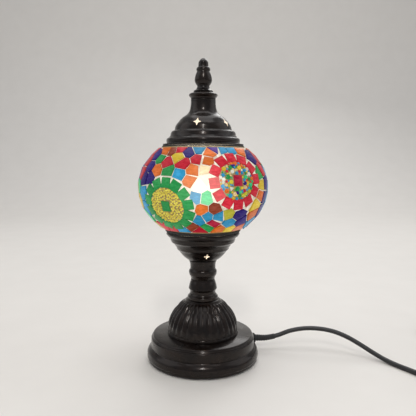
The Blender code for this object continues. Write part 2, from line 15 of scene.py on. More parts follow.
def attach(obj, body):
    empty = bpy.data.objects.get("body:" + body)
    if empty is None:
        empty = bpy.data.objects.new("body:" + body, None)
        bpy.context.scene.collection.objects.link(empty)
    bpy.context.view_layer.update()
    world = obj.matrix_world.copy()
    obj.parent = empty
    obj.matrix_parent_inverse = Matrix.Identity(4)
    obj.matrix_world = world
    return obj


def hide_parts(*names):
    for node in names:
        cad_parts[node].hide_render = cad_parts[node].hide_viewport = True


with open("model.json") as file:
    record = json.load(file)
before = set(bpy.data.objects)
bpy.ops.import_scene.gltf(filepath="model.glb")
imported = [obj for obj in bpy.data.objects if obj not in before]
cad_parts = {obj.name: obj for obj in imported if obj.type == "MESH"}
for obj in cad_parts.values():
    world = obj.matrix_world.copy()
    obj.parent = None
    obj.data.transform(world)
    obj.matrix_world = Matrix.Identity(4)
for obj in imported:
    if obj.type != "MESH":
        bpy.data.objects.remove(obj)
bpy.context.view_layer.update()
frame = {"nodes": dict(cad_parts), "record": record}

MM = 0.001
SHARP = radians(35)
ROUND = 112
TINY = 1e-6
UP = Vector((0, 0, 1))
SQUARE = ((-1, -1), (1, -1), (1, 1), (-1, 1))
STORE = "piece"  # the colour stored on the mosaic's corners

# Camera: a level-headed view from a little above the globe.
CAMERA_PLACE = (0, -484.8, 202.5)
CAMERA_PITCH = 84.5
CAMERA_TURN = -0.596
CAMERA_ROLL = 0.2
CAMERA_LENS = 41.54

# Globe: the mosaic's outer face is an ellipsoid.
GLOBE_R = 65
GLOBE_HALF_HEIGHT = 52.8
GLOBE_Z = 177.2
MOSAIC_TOP_Z = 216.9
MOSAIC_FOOT_Z = 135.3
PLATE_THICKNESS = 1.7
GROUT_INSET = 0.95
GROUT_GAP = 0.75
# Painted light: where the bulb's bright spot is painted on the globe (turn, height), the reach of the spot
# and of its haze, the strength of the mosaic's painted glow, and how dim that glow is painted far from the
# spot.
HOT_SPOT = (0.5, 180)
HOT_REACH = 18
HAZE_REACH = 66
MOSAIC_GLOW = 1.35
MOSAIC_CLEAR = 0.4
FAR_GLOW = 0.42
GLASS_RISE = 41.9
BULB_R = 22.5
BULB_Z = 180.5
BULB_NECK_R = 8.2
BULB_HOLLOW = 0.955

# Stem and cap.
HOLE_R = 5.3
STUD_R = 2.4
BORE_TURN = 19
FLUTES = 32
FLUTE_DEPTH = 1.7
CUP_STARS = 4
CAP_STARS = 5
STAR_DEPTH = 6
STAR_WAIST = 0.42
CUP_FLOOR = (105.5, 107)
CUP_FLOOR_R = 15.5

# Cord.
CORD_R = 2.4
COIL_CENTRE = (284, 2)
# Radius and height of each turn, in the order that the cord winds through them.
COIL_SLOTS = [
    (31.4, 2.5), (26.5, 2.5), (21.6, 2.5), (21.6, 7.4), (21.6, 12.2), (26.5, 12.2), (26.5, 7.4), (31.4, 7.4),
    (31.4, 12.2),
]
# Degrees into each turn at which it starts to move over.
COIL_MOVES = [222, 222, 192, 192, 162, 132, 102, 72]
COIL_MOVE = 130
COIL_START = 42
CORD_TO_SWITCH = [
    (46.4, 16, 13), (51.5, 17.7, 13), (57, 19.6, 12.9), (68.5, 21.9, 12), (81.5, 22.8, 14.3),
    (94.5, 23.2, 19), (107.5, 23.1, 21.6), (120, 21.9, 22.5), (132.5, 19.3, 22), (144, 15, 20.2),
    (155, 8.8, 16.8), (165.5, 1.6, 12), (175.5, -6.6, 7), (184.2, -16.2, 3.6), (192, -27, 2.4),
    (199.5, -38.2, 2.4), (207.5, -50, 2.7), (217.5, -60.2, 4.6), (228, -65.8, 7.6), (237.5, -67, 9),
]
CORD_TO_COIL = [
    (298.7, -67, 9), (302, -67, 8.8), (310.4, -65.3, 7.6), (317.6, -60.6, 5.6), (322.3, -53.4, 3.8),
    (324, -45, 2.8), (323.9, -33, 2.5), (322.8, -15, 2.5), (320.6, 4.5, 2.5),
]
CORD_TO_PLUG = [
    (284, 39.2, 7.6), (276, 39, 5.3), (266.2, 41.6, 3.6), (259.1, 48.8, 2.7), (256.5, 58.5, 2.6),
    (259.1, 68.2, 3.4), (266.2, 75.4, 5), (275.4, 78, 6.6), (278.7, 78, 6.8),
]
CORD_OFF_COIL = [  # turn in degrees, radius and height as the cord comes down off the coil
    (42, 31.4, 12.2), (50, 31.8, 12.2), (58, 32.8, 12.1), (66, 34, 11.6), (74, 35.2, 10.6), (82, 36.4, 9.2),
]
SWITCH_PLACE = (268, -67)
SWITCH_SIZE = (60, 25, 18)
SWITCH_SCREW_X = 22
PLUG_PLACE = (299, 78)
PLUG_HEIGHT = 13.6
TIE_TURN = 205
LIGHTS_FACE = (0, 0, 0.16)


# ---- Materials -------------------------------------------------------------------------------

def scaled(colour, by):
    return tuple(min(1, part * by) for part in colour)


class Paint:
    """A material on one Principled shader, with short names for the nodes that feed it."""

    def __init__(self, name, **sockets):
        self.material = bpy.data.materials.new(name)
        self.material.use_nodes = True
        self.tree = self.material.node_tree
        self.shader = self.tree.nodes["Principled BSDF"]
        self.place = self.tree.nodes.new("ShaderNodeTexCoord").outputs["Object"]
        self.put(**sockets)

    def put(self, **sockets):
        """Sets sockets of the shader to a number or a colour, or feeds them from a node."""
        for socket, value in sockets.items():
            self.feed(self.shader.inputs[socket.replace("_", " ")], value)

    def feed(self, socket, value):
        if isinstance(value, bpy.types.NodeSocket):
            self.tree.links.new(value, socket)
        elif isinstance(value, tuple) and len(value) == 3 and socket.type == "RGBA":
            socket.default_value = (*value, 1)
        else:
            socket.default_value = value

    def node(self, kind, **sockets):
        node = self.tree.nodes.new(f"ShaderNode{kind}")
        for socket, value in sockets.items():
            self.feed(node.inputs[socket.replace("_", " ")], value)
        return node

    def noise(self, size, detail=3, stretch=(1, 1, 1), rough=0.55):
        """Cloudy noise from 0 to 1 whose blots are about size millimetres wide."""
        place = self.node("Mapping", Scale=stretch, Vector=self.place).outputs["Vector"]
        node = self.node("TexNoise", Vector=place, Scale=1 / (size * MM), Detail=detail, Roughness=rough)
        return node.outputs["Fac"]

    def cells(self, size):
        """Distance from the middle of scattered cells about size millimetres wide."""
        return self.node("TexVoronoi", Vector=self.place, Scale=1 / (size * MM)).outputs["Distance"]

    def stored(self):
        """The red, green and blue parts of the colour stored on the mesh."""
        node = self.node("Attribute")
        node.attribute_name = STORE
        parts = self.node("SeparateColor", Color=node.outputs["Color"])
        return [parts.outputs[part] for part in ("Red", "Green", "Blue")]

    def span(self, value, low=0, high=1, from_low=0.3, from_high=0.7):
        """Carries a value from one range to another, held at its ends."""
        node = self.node("MapRange", Value=value, From_Min=from_low, From_Max=from_high, To_Min=low,
                         To_Max=high)
        return node.outputs["Result"]

    def mix(self, share, first, second, how="MIX"):
        node = self.node("Mix")
        node.data_type = "RGBA"
        node.blend_type = how
        for socket, value in ((0, share), (6, first), (7, second)):
            self.feed(node.inputs[socket], value)
        return node.outputs[2]

    def dimmed(self, colour, level):
        """The colour made darker by a level from 0 to 1."""
        level = (level,) * 3 if isinstance(level, float) else level
        return self.mix(1, colour, level, "MULTIPLY")

    def bump(self, height, depth, below=None):
        """Raises the surface by up to depth millimetres."""
        node = self.node("Bump", Distance=depth * MM, Height=height)
        if below is not None:
            self.feed(node.inputs["Normal"], below)
        return node.outputs["Normal"]


def bronze_paint():
    """Near-black bronze lacquer over turned metal, browner where it has rubbed."""
    paint = Paint("bronze_lacquer", Metallic=0.6, Coat_Weight=0.32, Coat_Roughness=0.13,
                  Specular_IOR_Level=0.3)
    blots = paint.noise(9, 5)
    turning = paint.noise(1.6, 3, (0.15, 0.15, 1))
    grain = paint.noise(0.7, 2)
    dark = paint.mix(paint.span(blots), (0.006, 0.0038, 0.0033), (0.016, 0.009, 0.006))
    paint.put(Base_Color=paint.mix(paint.span(grain, 0, 0.4, 0.58, 0.75), dark, (0.03, 0.017, 0.011)),
              Roughness=paint.span(turning, 0.24, 0.38),
              Normal=paint.bump(grain, 0.012, paint.bump(turning, 0.018)))
    return paint.material


def metal_paint(name, colour, roughness, spread=0.12, grain_size=0.8, depth=0.03):
    """Bare or plated metal with uneven gloss and fine marks."""
    paint = Paint(name, Metallic=1)
    blots = paint.noise(5, 4)
    grain = paint.noise(grain_size, 3)
    paint.put(Base_Color=paint.mix(paint.span(blots), scaled(colour, 0.62), colour),
              Roughness=paint.span(grain, roughness - spread, roughness + spread),
              Normal=paint.bump(grain, depth))
    return paint.material


def plain_paint(name, colour, roughness, grain_size=0.5, depth=0.03, lift=0.35, **sockets):
    """A moulded or cast surface: small shifts in tone and a fine pebbled texture."""
    paint = Paint(name, **sockets)
    blots = paint.noise(6, 4)
    grain = paint.noise(grain_size, 2)
    paint.put(Base_Color=paint.mix(paint.span(blots), scaled(colour, 1 - lift), scaled(colour, 1 + lift)),
              Roughness=paint.span(grain, roughness - 0.08, roughness + 0.08),
              Normal=paint.bump(grain, depth))
    return paint.material


def glass_paint(name, colour, roughness):
    """Clear glass with faint waves and a few dull specks."""
    paint = Paint(name, Transmission_Weight=1, IOR=1.45, Base_Color=colour)
    paint.put(Roughness=paint.span(paint.noise(3), roughness, roughness + 0.05),
              Normal=paint.bump(paint.noise(14, 2), 0.12))
    return paint.material


def glow_paint(name, base, roughness, strength, blot_size, detail, dim, bright, depth):
    """A surface that glows all over, in blots of two tones."""
    paint = Paint(name, Roughness=roughness, Base_Color=base, Emission_Strength=strength)
    blots = paint.noise(blot_size, detail)
    paint.put(Emission_Color=paint.mix(paint.span(blots), dim, bright), Normal=paint.bump(blots, depth))
    return paint.material


def filament_paint():
    paint = Paint("filament_glow", Roughness=0.5, Base_Color=(1, 0.7, 0.3), Emission_Strength=14)
    paint.put(Emission_Color=paint.mix(paint.noise(1), (1, 0.5, 0.16), (1, 0.75, 0.4)))
    return paint.material


def tessera_paint(name, colour, clear):
    """A coloured glass piece whose glow is painted light standing in for the bulb behind it: streaks and
    seeds in the glass, a tone of its own for each piece (green part of the stored colour), painted shade at
    its edges (red part), and a painted bright spot of the bulb's light, with the glow painted dimmer further
    from it (blue part)."""
    paint = Paint(f"glass_{name}", Roughness=0.3, IOR=1.45, Transmission_Weight=clear, Coat_Weight=0.08,
                  Coat_Roughness=0.08, Emission_Strength=MOSAIC_GLOW, Specular_IOR_Level=0.16)
    middle, tone, hot_spot_share = paint.stored()
    streaks = paint.noise(2.6, 5, (0.5, 0.5, 1.4), 0.65)
    deep = scaled(colour, 0.34)
    pale = tuple(min(1, part * 1.12 + 0.035) for part in colour)
    glass = paint.mix(paint.span(streaks, 0, 1, 0.36, 0.64), scaled(colour, 0.78), pale)
    glass = paint.mix(paint.span(tone, 0, 0.5, 0, 1), glass, deep)
    glass = paint.mix(paint.span(paint.cells(1.9), 0.3, 0, 0.05, 0.16), glass, pale)
    # Painted light: the glow is shaded at the piece's edges, turns warm white near the painted bright spot
    # and is painted dimmer away from it.
    light = paint.mix(paint.span(middle, 0.85, 0, 0, 1), glass, deep)
    white = 0.95 if name in ("amber", "clear") else 0.22
    light = paint.mix(paint.span(hot_spot_share, 0, white, 0.5, 0.95), light, (1, 0.9, 0.72))
    waves = paint.bump(streaks, 0.25)
    paint.put(Base_Color=paint.dimmed(glass, 0.16),
              Emission_Color=paint.dimmed(light, paint.span(hot_spot_share, FAR_GLOW, 1, 0, 1)),
              Normal=paint.bump(paint.noise(0.9, 2), 0.04, waves))
    return paint.material


def grout_paint():
    """Pale crumbly grout whose glow is painted light standing in for the lamp's light through it. The stored
    colour marks where the grout is darker and its painted glow dimmer, under the bead discs and along the
    rims (red part), and the nearness of the painted bright spot (blue part)."""
    paint = Paint("lit_grout", Roughness=0.75, Emission_Strength=MOSAIC_GLOW)
    dimmed_grout, _, hot_spot_share = paint.stored()
    grains = paint.noise(1.2, 4)
    blots = paint.noise(6, 4)
    tone = paint.mix(paint.span(blots, 0, 1, 0.35, 0.65), (0.5, 0.43, 0.33), (1, 0.95, 0.82))
    tone = paint.mix(paint.span(grains, 0, 0.55, 0.52, 0.7), tone, (0.2, 0.14, 0.09))
    # Painted glow: darker under the bead discs and along the rims, whiter near the painted bright spot,
    # dimmer far from it.
    tone = paint.mix(paint.span(dimmed_grout, 0, 0.85, 0.3, 0.8), tone, (0.25, 0.155, 0.02))
    tone = paint.mix(paint.span(hot_spot_share, 0, 0.85, 0.45, 0.95), tone, (1, 0.92, 0.76))
    paint.put(Base_Color=paint.mix(dimmed_grout, (0.2, 0.175, 0.13), (0.03, 0.02, 0.006)),
              Emission_Color=paint.dimmed(tone, paint.span(hot_spot_share, FAR_GLOW, 1, 0, 1)),
              Normal=paint.bump(grains, 0.3))
    return paint.material


def felt_paint():
    paint = Paint("green_felt", Sheen_Weight=0.6, Sheen_Roughness=0.5, Roughness=0.95)
    fibres = paint.noise(0.5, 5)
    paint.put(Base_Color=paint.mix(fibres, (0.012, 0.03, 0.02), (0.05, 0.1, 0.07)),
              Normal=paint.bump(fibres, 0.25))
    return paint.material


PAINTS = {
    "bronze": bronze_paint(),
    "steel": metal_paint("zinc_steel", (0.5, 0.5, 0.52), 0.36),
    "brass": metal_paint("pressed_brass", (0.78, 0.56, 0.24), 0.3),
    "iron": metal_paint("cast_iron", (0.1, 0.1, 0.105), 0.62, 0.1, 1.2, 0.2),
    "phenolic": plain_paint("phenolic", (0.035, 0.03, 0.027), 0.34, Coat_Weight=0.3, Coat_Roughness=0.2),
    "porcelain": plain_paint("porcelain", (0.8, 0.78, 0.71), 0.2, 3, 0.05, 0.08, Coat_Weight=0.6),
    "rubber": plain_paint("black_rubber", (0.018, 0.018, 0.018), 0.68, 0.4, 0.04),
    "cord": plain_paint("cord_sheath", (0.013, 0.013, 0.014), 0.42, 0.6, 0.03),
    "black_plastic": plain_paint("moulded_plastic", (0.016, 0.016, 0.017), 0.4, 0.35, 0.05),
    "globe_glass": glass_paint("blown_glass", (0.97, 0.985, 0.98), 0.02),
    "bulb_glass": glow_paint("bulb_frost", (1, 0.96, 0.88), 0.45, 6, 0.6, 2, (1, 0.83, 0.55),
                             (1, 0.9, 0.7), 0.02),
    "filament": filament_paint(),
    "felt": felt_paint(),
    "mosaic": grout_paint(),
}
# The inside of the metal, with the bulb's light on it painted as a glow.
LIT_INSIDE = glow_paint("lamplit_inside", (0.2, 0.16, 0.11), 0.5, 1, 4, 3, (0.86, 0.7, 0.52),
                        (1, 0.88, 0.74), 0.05)


# ---- Shapes ----------------------------------------------------------------------------------

def put_in(name, data, place=(0, 0, 0)):
    """Puts an object in the scene at a place in millimetres."""
    obj = bpy.data.objects.new(name, data)
    bpy.context.scene.collection.objects.link(obj)
    obj.location = Vector(place) * MM
    return obj


def shift(mesh, by):
    mesh.transform(Matrix.Translation(Vector(by) * MM))


def around(steps):
    """Evenly spread angles round a circle."""
    return [2 * pi * i / steps for i in range(steps)]


def filled(corners, spacing):
    """A closed outline with points along its sides, about spacing apart."""
    result = []
    for a, b in zip(corners, corners[1:] + corners[:1]):
        steps = max(1, round((b - a).length / spacing))
        result += [a + (b - a) * i / steps for i in range(steps)]
    return result


def rod(radius, top, low, steps=32):
    return lathe([(0, top), (radius, top), (radius, low), (0, low)], steps)


def piece(name, mesh, slot, body="base", replaces=(), paint=None):
    """Puts a mesh or a curve in the scene, on its body and in place of its CAD nodes."""
    obj = put_in(name, mesh)
    mesh.materials.clear()
    mesh.materials.append(paint or PAINTS[slot])
    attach(obj, body)
    if replaces:
        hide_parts(*replaces)
    return obj


def smooth(mesh, angle=SHARP):
    mesh.shade_smooth()
    mesh.set_sharp_from_angle(angle=angle)


def outline(*stops, count=6):
    """Points (r, z) through the stops. A stop (r, z, swell) is reached along a curve that swells
    to the left of its way, which is outwards on the way down an outer side."""
    points = [stops[0][:2]]
    for stop in stops[1:]:
        start = Vector(points[-1])
        way = Vector(stop[:2]) - start
        swell = stop[2] if len(stop) > 2 else 0
        side = Vector((-way.y, way.x)).normalized() * swell
        steps = count if swell else 1
        for i in range(1, steps + 1):
            t = i / steps
            points.append(tuple(start + way * t + side * 4 * t * (1 - t)))
    return points


def softened(points, radius=0.28):
    """The same closed profile with each sharp corner cut by a small bevel."""
    result = []
    for i, corner in enumerate(points):
        corner = Vector(corner)
        before = Vector(points[i - 1]) - corner
        after = Vector(points[(i + 1) % len(points)]) - corner
        if before.length < TINY or after.length < TINY:
            continue
        bend = pi - before.angle(after)
        if corner.x < TINY or bend < SHARP:
            result.append(tuple(corner))
            continue
        cut = min(radius, before.length * 0.4, after.length * 0.4)
        first = corner + before.normalized() * cut
        last = corner + after.normalized() * cut
        middle = (first + last) * 0.3 + corner * 0.4
        result += [tuple(first), tuple(middle), tuple(last)]
    return result


def lathe(points, steps=ROUND):
    """The mesh of a solid of revolution about Z. A profile that doesn't start on the axis closes
    on itself."""
    shape = bmesh.new()
    rings = []
    for r, z in points:
        angles = [0] if r < TINY else around(steps)
        r = 0 if r < TINY else r
        rings.append([shape.verts.new((r * MM * cos(a), r * MM * sin(a), z * MM)) for a in angles])
    pairs = list(zip(rings, rings[1:]))
    if len(rings[0]) > 1:
        pairs.append((rings[-1], rings[0]))
    for upper, lower in pairs:
        for i in range(steps):
            corners = [ring[i - 1] if len(ring) > 1 else ring[0] for ring in (upper, lower)]
            corners += [ring[i] for ring in (lower, upper) if len(ring) > 1]
            shape.faces.new(corners)
    return finished(shape)


def stitch(shape, loops, closed=True):
    """Joins each loop of corners to the next, and the last to the first or else fills both ends."""
    for first, second in zip(loops, loops[1:] + loops[:1] if closed else loops[1:]):
        for i in range(len(first)):
            shape.faces.new([first[i - 1], first[i], second[i], second[i - 1]])
    if not closed:
        shape.faces.new(loops[0])
        shape.faces.new(loops[-1])


def finished(shape, angle=SHARP):
    """The bmesh as a mesh, its faces turned outwards and shaded smooth between sharp edges."""
    bmesh.ops.recalc_face_normals(shape, faces=shape.faces)
    mesh = bpy.data.meshes.new("shape")
    shape.to_mesh(mesh)
    shape.free()
    smooth(mesh, angle)
    return mesh


def turned(node, slot, stops, body="base", steps=ROUND):
    """A turned piece in place of the CAD node, its half outline through the stops."""
    return piece(f"{node}_fine", lathe(softened(outline(*stops)), steps), slot, body, (node,))


def cut_out(obj, cutters):
    """Cuts the helpers out of the piece and deletes them."""
    for cutter in cutters:
        boolean = obj.modifiers.new("cut", "BOOLEAN")
        boolean.operation = "DIFFERENCE"
        boolean.solver = "EXACT"
        boolean.object = cutter
    bpy.context.view_layer.update()
    graph = bpy.context.evaluated_depsgraph_get()
    mesh = bpy.data.meshes.new_from_object(obj.evaluated_get(graph))
    obj.modifiers.clear()
    obj.data = mesh
    smooth(mesh)
    for cutter in cutters:
        bpy.data.objects.remove(cutter, do_unlink=True)


def sideways(cutter, turn=0):
    """The cutter with its own Z axis turned to point outwards at a turn round the lamp."""
    cutter.rotation_euler = Euler((0, radians(90), turn))
    return cutter


def star_cutter(turn, reach, radius, height):
    """A four-pointed star with hollow sides, standing on the axis's side and pointing outwards."""
    shape = bmesh.new()
    loops = []
    for way in (-STAR_DEPTH, STAR_DEPTH):
        corners = []
        for i in range(8):
            angle = radians(45 * i)
            far = reach if i % 2 == 0 else reach * STAR_WAIST
            corners.append(shape.verts.new((far * cos(angle) * MM, far * sin(angle) * MM, way * MM)))
        loops.append(corners)
    stitch(shape, loops, closed=False)
    cutter = put_in("cutter", finished(shape), (cos(turn) * radius, sin(turn) * radius, height))
    return sideways(cutter, turn)


def cut_stars(obj, count, first_turn, reach, radius, height):
    """Pierces the metal with a row of stars and paints the bulb's light as a glow on its inside, the cup's
    floor and the stars' own sides.
    """
    turns = [radians(first_turn + 360 * i / count) for i in range(count)]
    cut_out(obj, [star_cutter(turn, reach, radius, height) for turn in turns])
    obj.data.materials.append(LIT_INSIDE)
    ways = [Vector((cos(turn), sin(turn), 0)) for turn in turns]
    for face in obj.data.polygons:
        centre = face.center / MM
        away = Vector((centre.x, centre.y, 0))
        lit = away.length > 3 and face.normal.dot(away.normalized()) < -0.25
        on_floor = CUP_FLOOR[0] < centre.z < CUP_FLOOR[1] and away.length < CUP_FLOOR_R
        lit = lit or (on_floor and face.normal.z > 0.5)
        for way in ways:
            gap = centre - way * radius - Vector((0, 0, height))
            aside = (gap - way * gap.dot(way)).length
            in_star = abs(gap.dot(way)) < STAR_DEPTH and aside < reach
            lit = lit or (in_star and abs(face.normal.dot(way)) < 0.1)
        if lit:
            face.material_index = 1


def smooth_path(route, spacing):
    """Points about spacing apart on a smooth curve through the route's own points."""
    stops = [Vector(stop) for stop in route]
    stops = [2 * stops[0] - stops[1], *stops, 2 * stops[-1] - stops[-2]]
    points = [stops[1]]
    for before, start, end, after in zip(stops, stops[1:], stops[2:], stops[3:]):
        steps = max(1, round((end - start).length / spacing))
        for i in range(1, steps + 1):
            t = i / steps
            bend = (end - before) * t + (2 * before - 5 * start + 4 * end - after) * t**2
            twist = (3 * start - before - 3 * end + after) * t**3
            points.append(start + (bend + twist) / 2)
    return points


def tube(points, radius, resolution=5):
    """A round tube along the points, as a curve."""
    curve = bpy.data.curves.new("tube", "CURVE")
    curve.dimensions = "3D"
    curve.bevel_depth = radius * MM
    curve.bevel_resolution = resolution
    curve.use_fill_caps = True
    spline = curve.splines.new("POLY")
    spline.points.add(len(points) - 1)
    for knot, point in zip(spline.points, points):
        knot.co = (*(Vector(point) * MM), 1)
    spline.use_smooth = True
    return curve


def path_length(points):
    return sum((b - a).length for a, b in zip(points, points[1:])) * MM


# ---- Camera and cord -------------------------------------------------------------------------

def make_camera():
    data = bpy.data.cameras.new("camera")
    data.lens = CAMERA_LENS
    data.sensor_width = 36
    data.clip_start = 0.01
    camera = put_in("camera", data, CAMERA_PLACE)
    aim = Euler((radians(CAMERA_PITCH), 0, radians(CAMERA_TURN))).to_matrix()
    camera.rotation_euler = (aim @ Matrix.Rotation(radians(CAMERA_ROLL), 3, "Z")).to_euler()
    bpy.context.scene.camera = camera


def coil_points():
    """The wound cord's line: each turn keeps to its slot, then moves over to the next one. The last
    turns move first, so that they are out of the way of the ones behind them."""
    points = []
    per_turn = 30
    for k, move in enumerate(COIL_MOVES):
        (r, z), (next_r, next_z) = COIL_SLOTS[k], COIL_SLOTS[k + 1]
        for i in range(per_turn):
            t = min(1, max(0, (360 * i / per_turn - move) / COIL_MOVE))
            t = t * t * (3 - 2 * t)
            turn = COIL_START + 360 * i / per_turn
            points.append(at_coil(turn, r + (next_r - r) * t, z + (next_z - z) * t))
    return points


def at_coil(turn, r, z):
    """The place at a turn in degrees, a radius and a height round the coil's middle."""
    angle = radians(turn)
    return Vector((COIL_CENTRE[0] + r * cos(angle), COIL_CENTRE[1] + r * sin(angle), z))


def make_cord():
    """The lead from the foot to the switch, and the one from the switch through the coil to the plug."""
    first = smooth_path(CORD_TO_SWITCH, 3)
    lead = piece("cord_lead", tube(first, CORD_R), "cord", replaces=("cord_to_switch",))
    coil = [tuple(point) for point in coil_points()] + [at_coil(*stop) for stop in CORD_OFF_COIL]
    second = smooth_path([*CORD_TO_COIL, *coil, *CORD_TO_PLUG], 3)
    wound = piece("cord_wound", tube(second, CORD_R), "cord",
                  replaces=("cord_to_coil", "cord_coil", "cord_to_plug"))
    return (lead, path_length(first)), (wound, path_length(second))


# ---- Cord fittings ---------------------------------------------------------------------------

def swept(path, profile, sides=28):
    """A hollow round solid round a path. The profile is a closed loop of (distance along the
    path, radius)."""
    lengths = [0]
    for a, b in zip(path, path[1:]):
        lengths.append(lengths[-1] + (b - a).length)
    shape = bmesh.new()
    loops = []
    for distance, radius in profile:
        k = max(i for i, far in enumerate(lengths[:-1]) if far <= max(0, distance))
        share = (distance - lengths[k]) / (lengths[k + 1] - lengths[k])
        spot = path[k] + (path[k + 1] - path[k]) * share
        way = (path[min(len(path) - 1, k + 3)] - path[max(0, k - 2)]).normalized()
        side = way.cross(UP).normalized()
        up = side.cross(way)
        loops.append([shape.verts.new((spot + side * radius * cos(a) + up * radius * sin(a)) * MM)
                      for a in around(sides)])
    stitch(shape, loops)
    return finished(shape, radians(28))


def boot_profile(start, end, start_r, end_r, grooves, head=(), groove=0.75):
    """A tapering sleeve on the cord with grooves round it, its bore just wider than the cord."""
    bore = CORD_R + 0.12
    profile = list(head)
    for i in range(grooves):
        for share, deep in ((0, 0), (0.5, 0), (0.58, groove), (0.84, groove), (0.92, 0)):
            t = (i + share) / grooves * 0.9
            radius = start_r + (end_r - start_r) * t
            profile.append((start + (end - start) * t, max(bore + 0.25, radius - deep)))
    profile += [(end - 0.7, end_r + 0.1), (end - 0.2, end_r - 0.05), (end, bore + 0.2), (end, bore)]
    low = profile[0][0]
    steps = max(4, round((end - low) / 2.5))
    profile += [(end + (low - end) * i / steps, bore) for i in range(1, steps + 1)]
    return profile


def make_boots():
    """The tapered strain reliefs at the foot, at both ends of the switch and at the plug."""
    out = smooth_path(CORD_TO_SWITCH, 1)
    head = [(0, 4), (0.3, 4.2), (8.4, 4.2), (8.7, 4.4), (8.8, 4.9), (8.9, 5.1), (9.7, 5.1), (10, 4.7),
            (10.2, 3.8)]
    grommet = swept(out, boot_profile(10.5, 33, 3.5, 2.72, 8, head, 0.35))
    boots = [piece("cord_grommet_boot", grommet, "rubber", replaces=("cord_grommet",))]
    for name, start, cord, length, start_r in (
            ("switch_boot_1", (241, -67, 9), reversed(CORD_TO_SWITCH), 25, 4.6),
            ("switch_boot_2", (295, -67, 9), CORD_TO_COIL, 25, 4.6),
            ("plug_boot", (283, 78, 6.8), reversed(CORD_TO_PLUG), 24, 4.7)):
        path = smooth_path([start, *cord], 1)
        boots.append(piece(name, swept(path, boot_profile(0, length, start_r, 2.85, 7)), "rubber"))
    return boots


def rounded_outline(length, width, radius, count=10, spacing=1):
    """Corners (x, y), anticlockwise, of a rectangle with round corners, with points along its sides."""
    corners = []
    for quarter, (sx, sy) in enumerate([(1, 1), (-1, 1), (-1, -1), (1, -1)]):
        centre = (sx * (length / 2 - radius), sy * (width / 2 - radius))
        for i in range(count + 1):
            angle = radians(90 * (quarter + i / count))
            corners.append(Vector((centre[0] + radius * cos(angle), centre[1] + radius * sin(angle))))
    return filled(corners, spacing)


def ribbed(corners, low_x, high_x, depth=0.45, pitch=2.4):
    """The outline with finger grooves pressed into its long sides between two places."""
    result = []
    for corner in corners:
        wave = 0
        if low_x < corner.x < high_x and abs(corner.y) > 8:
            wave = depth * max(0, sin(2 * pi * (corner.x - low_x) / pitch))
        result.append(Vector((corner.x, corner.y - copysign(wave, corner.y))))
    return result


def inset(corners, far):
    """The outline moved inwards."""
    result = []
    for i, corner in enumerate(corners):
        way = (corners[(i + 1) % len(corners)] - corners[i - 1]).normalized()
        result.append(corner - Vector((way.y, -way.x)) * far)
    return result


def moulded(corners, low, high, low_round, high_round, place):
    """An upright moulding on an outline, with its bottom and top edges rounded."""
    levels = []
    for edge, sign, start in ((low_round, 1, low), (high_round, -1, high)):
        steps = [radians(15 * i) for i in range(7)] if edge > 0.4 else [0, radians(90)]
        levels += [(edge * (1 - sin(a)), start + sign * edge * (1 - cos(a))) for a in steps[::sign]]
    shape = bmesh.new()
    stitch(shape, [[shape.verts.new(((c.x + place[0]) * MM, (c.y + place[1]) * MM, z * MM))
                    for c in inset(corners, far)] for far, z in levels], closed=False)
    return finished(shape, radians(30))


def make_switch():
    """The in-line switch: two half cases, a rocker and two case screws."""
    length, width, height = SWITCH_SIZE
    x, y = SWITCH_PLACE
    outer = ribbed(rounded_outline(length, width, 8, spacing=0.4), -20, 20)
    pocket = rounded_outline(19.6, 10.6, 1.6, 5, 3)
    pieces = []
    for half, edges in (("lower", (0, 8.7, 2.6, 0.2)), ("upper", (9, height, 0.2, 3.4))):
        case = piece(f"switch_case_{half}_fine", moulded(outer, *edges, (x, y)), "black_plastic",
                     replaces=(f"switch_{half}_case",))
        cutters = [put_in("cutter", moulded(pocket, 4, height + 3, 0, 0, (x, y)))]
        for side in (-SWITCH_SCREW_X, SWITCH_SCREW_X):
            cutters.append(put_in("cutter", rod(2.7, height + 1, 4), (x + side, y, 0)))
        for side in (-1, 1):
            cutters.append(sideways(put_in("cutter", rod(3.1, 8, -8), (x + side * length / 2, y, 9))))
        cut_out(case, cutters)
        pieces.append(case)
    for i, side in enumerate((-SWITCH_SCREW_X, SWITCH_SCREW_X)):
        mesh = lathe([(0, height - 1.3), (1.4, height - 1.3), (2.3, height - 1.6), (2.4, height - 1.9),
                      (2.4, height - 2.6), (1.2, height - 2.8), (1.2, 4.4), (0, 4.4)], 32)
        screw = piece(f"case_screw_{i + 1}", mesh, "steel", replaces=(f"switch_screw_{i + 1}",))
        slots = []
        for turn in (35, 125):
            slot = moulded(rounded_outline(3.4, 0.7, 0.2, 2, 3), height - 2.1, height, 0, 0, (0, 0))
            slots.append(put_in("cutter", slot))
            slots[-1].rotation_euler.z = radians(turn)
        cut_out(screw, slots)
        shift(screw.data, (x + side, y, 0))
        pieces.append(screw)
    return [*pieces, make_rocker()]


def make_rocker():
    """The rocker, pressed down at its far end, with finger lines across it."""
    reach = 8
    outer = [(reach, 6.2)]
    for i in range(41):
        share = 1 - i / 20
        line = 0.22 if abs(share) > 0.3 and i % 4 < 2 else 0
        outer.append((reach * share * 0.985, 5.25 + 1.35 * share * share - line))
    outer += [(-reach, 6.2), (-reach, 3)]
    for i in range(1, 24):
        angle = radians(180 + 180 * i / 24)
        outer.append((6.2 * cos(angle), 6.2 * sin(angle)))
    outer.append((reach, 3))
    centre = Vector((0, 1))
    shape = bmesh.new()
    loops = []
    for far, side in ((0.45, -5), (0.12, -4.85), (0, -4.5), (0, 4.5), (0.12, 4.85), (0.45, 5)):
        shrunk = [point - (point - centre).normalized() * far for point in map(Vector, outer)]
        loops.append([shape.verts.new((point.x * MM, side * MM, point.y * MM)) for point in shrunk])
    stitch(shape, loops, closed=False)
    mesh = finished(shape, radians(30))
    mesh.transform(Matrix.Rotation(radians(10), 4, "Y"))
    shift(mesh, (*SWITCH_PLACE, 12))
    return piece("rocker_fine", mesh, "black_plastic", "rocker", ("switch_rocker",))


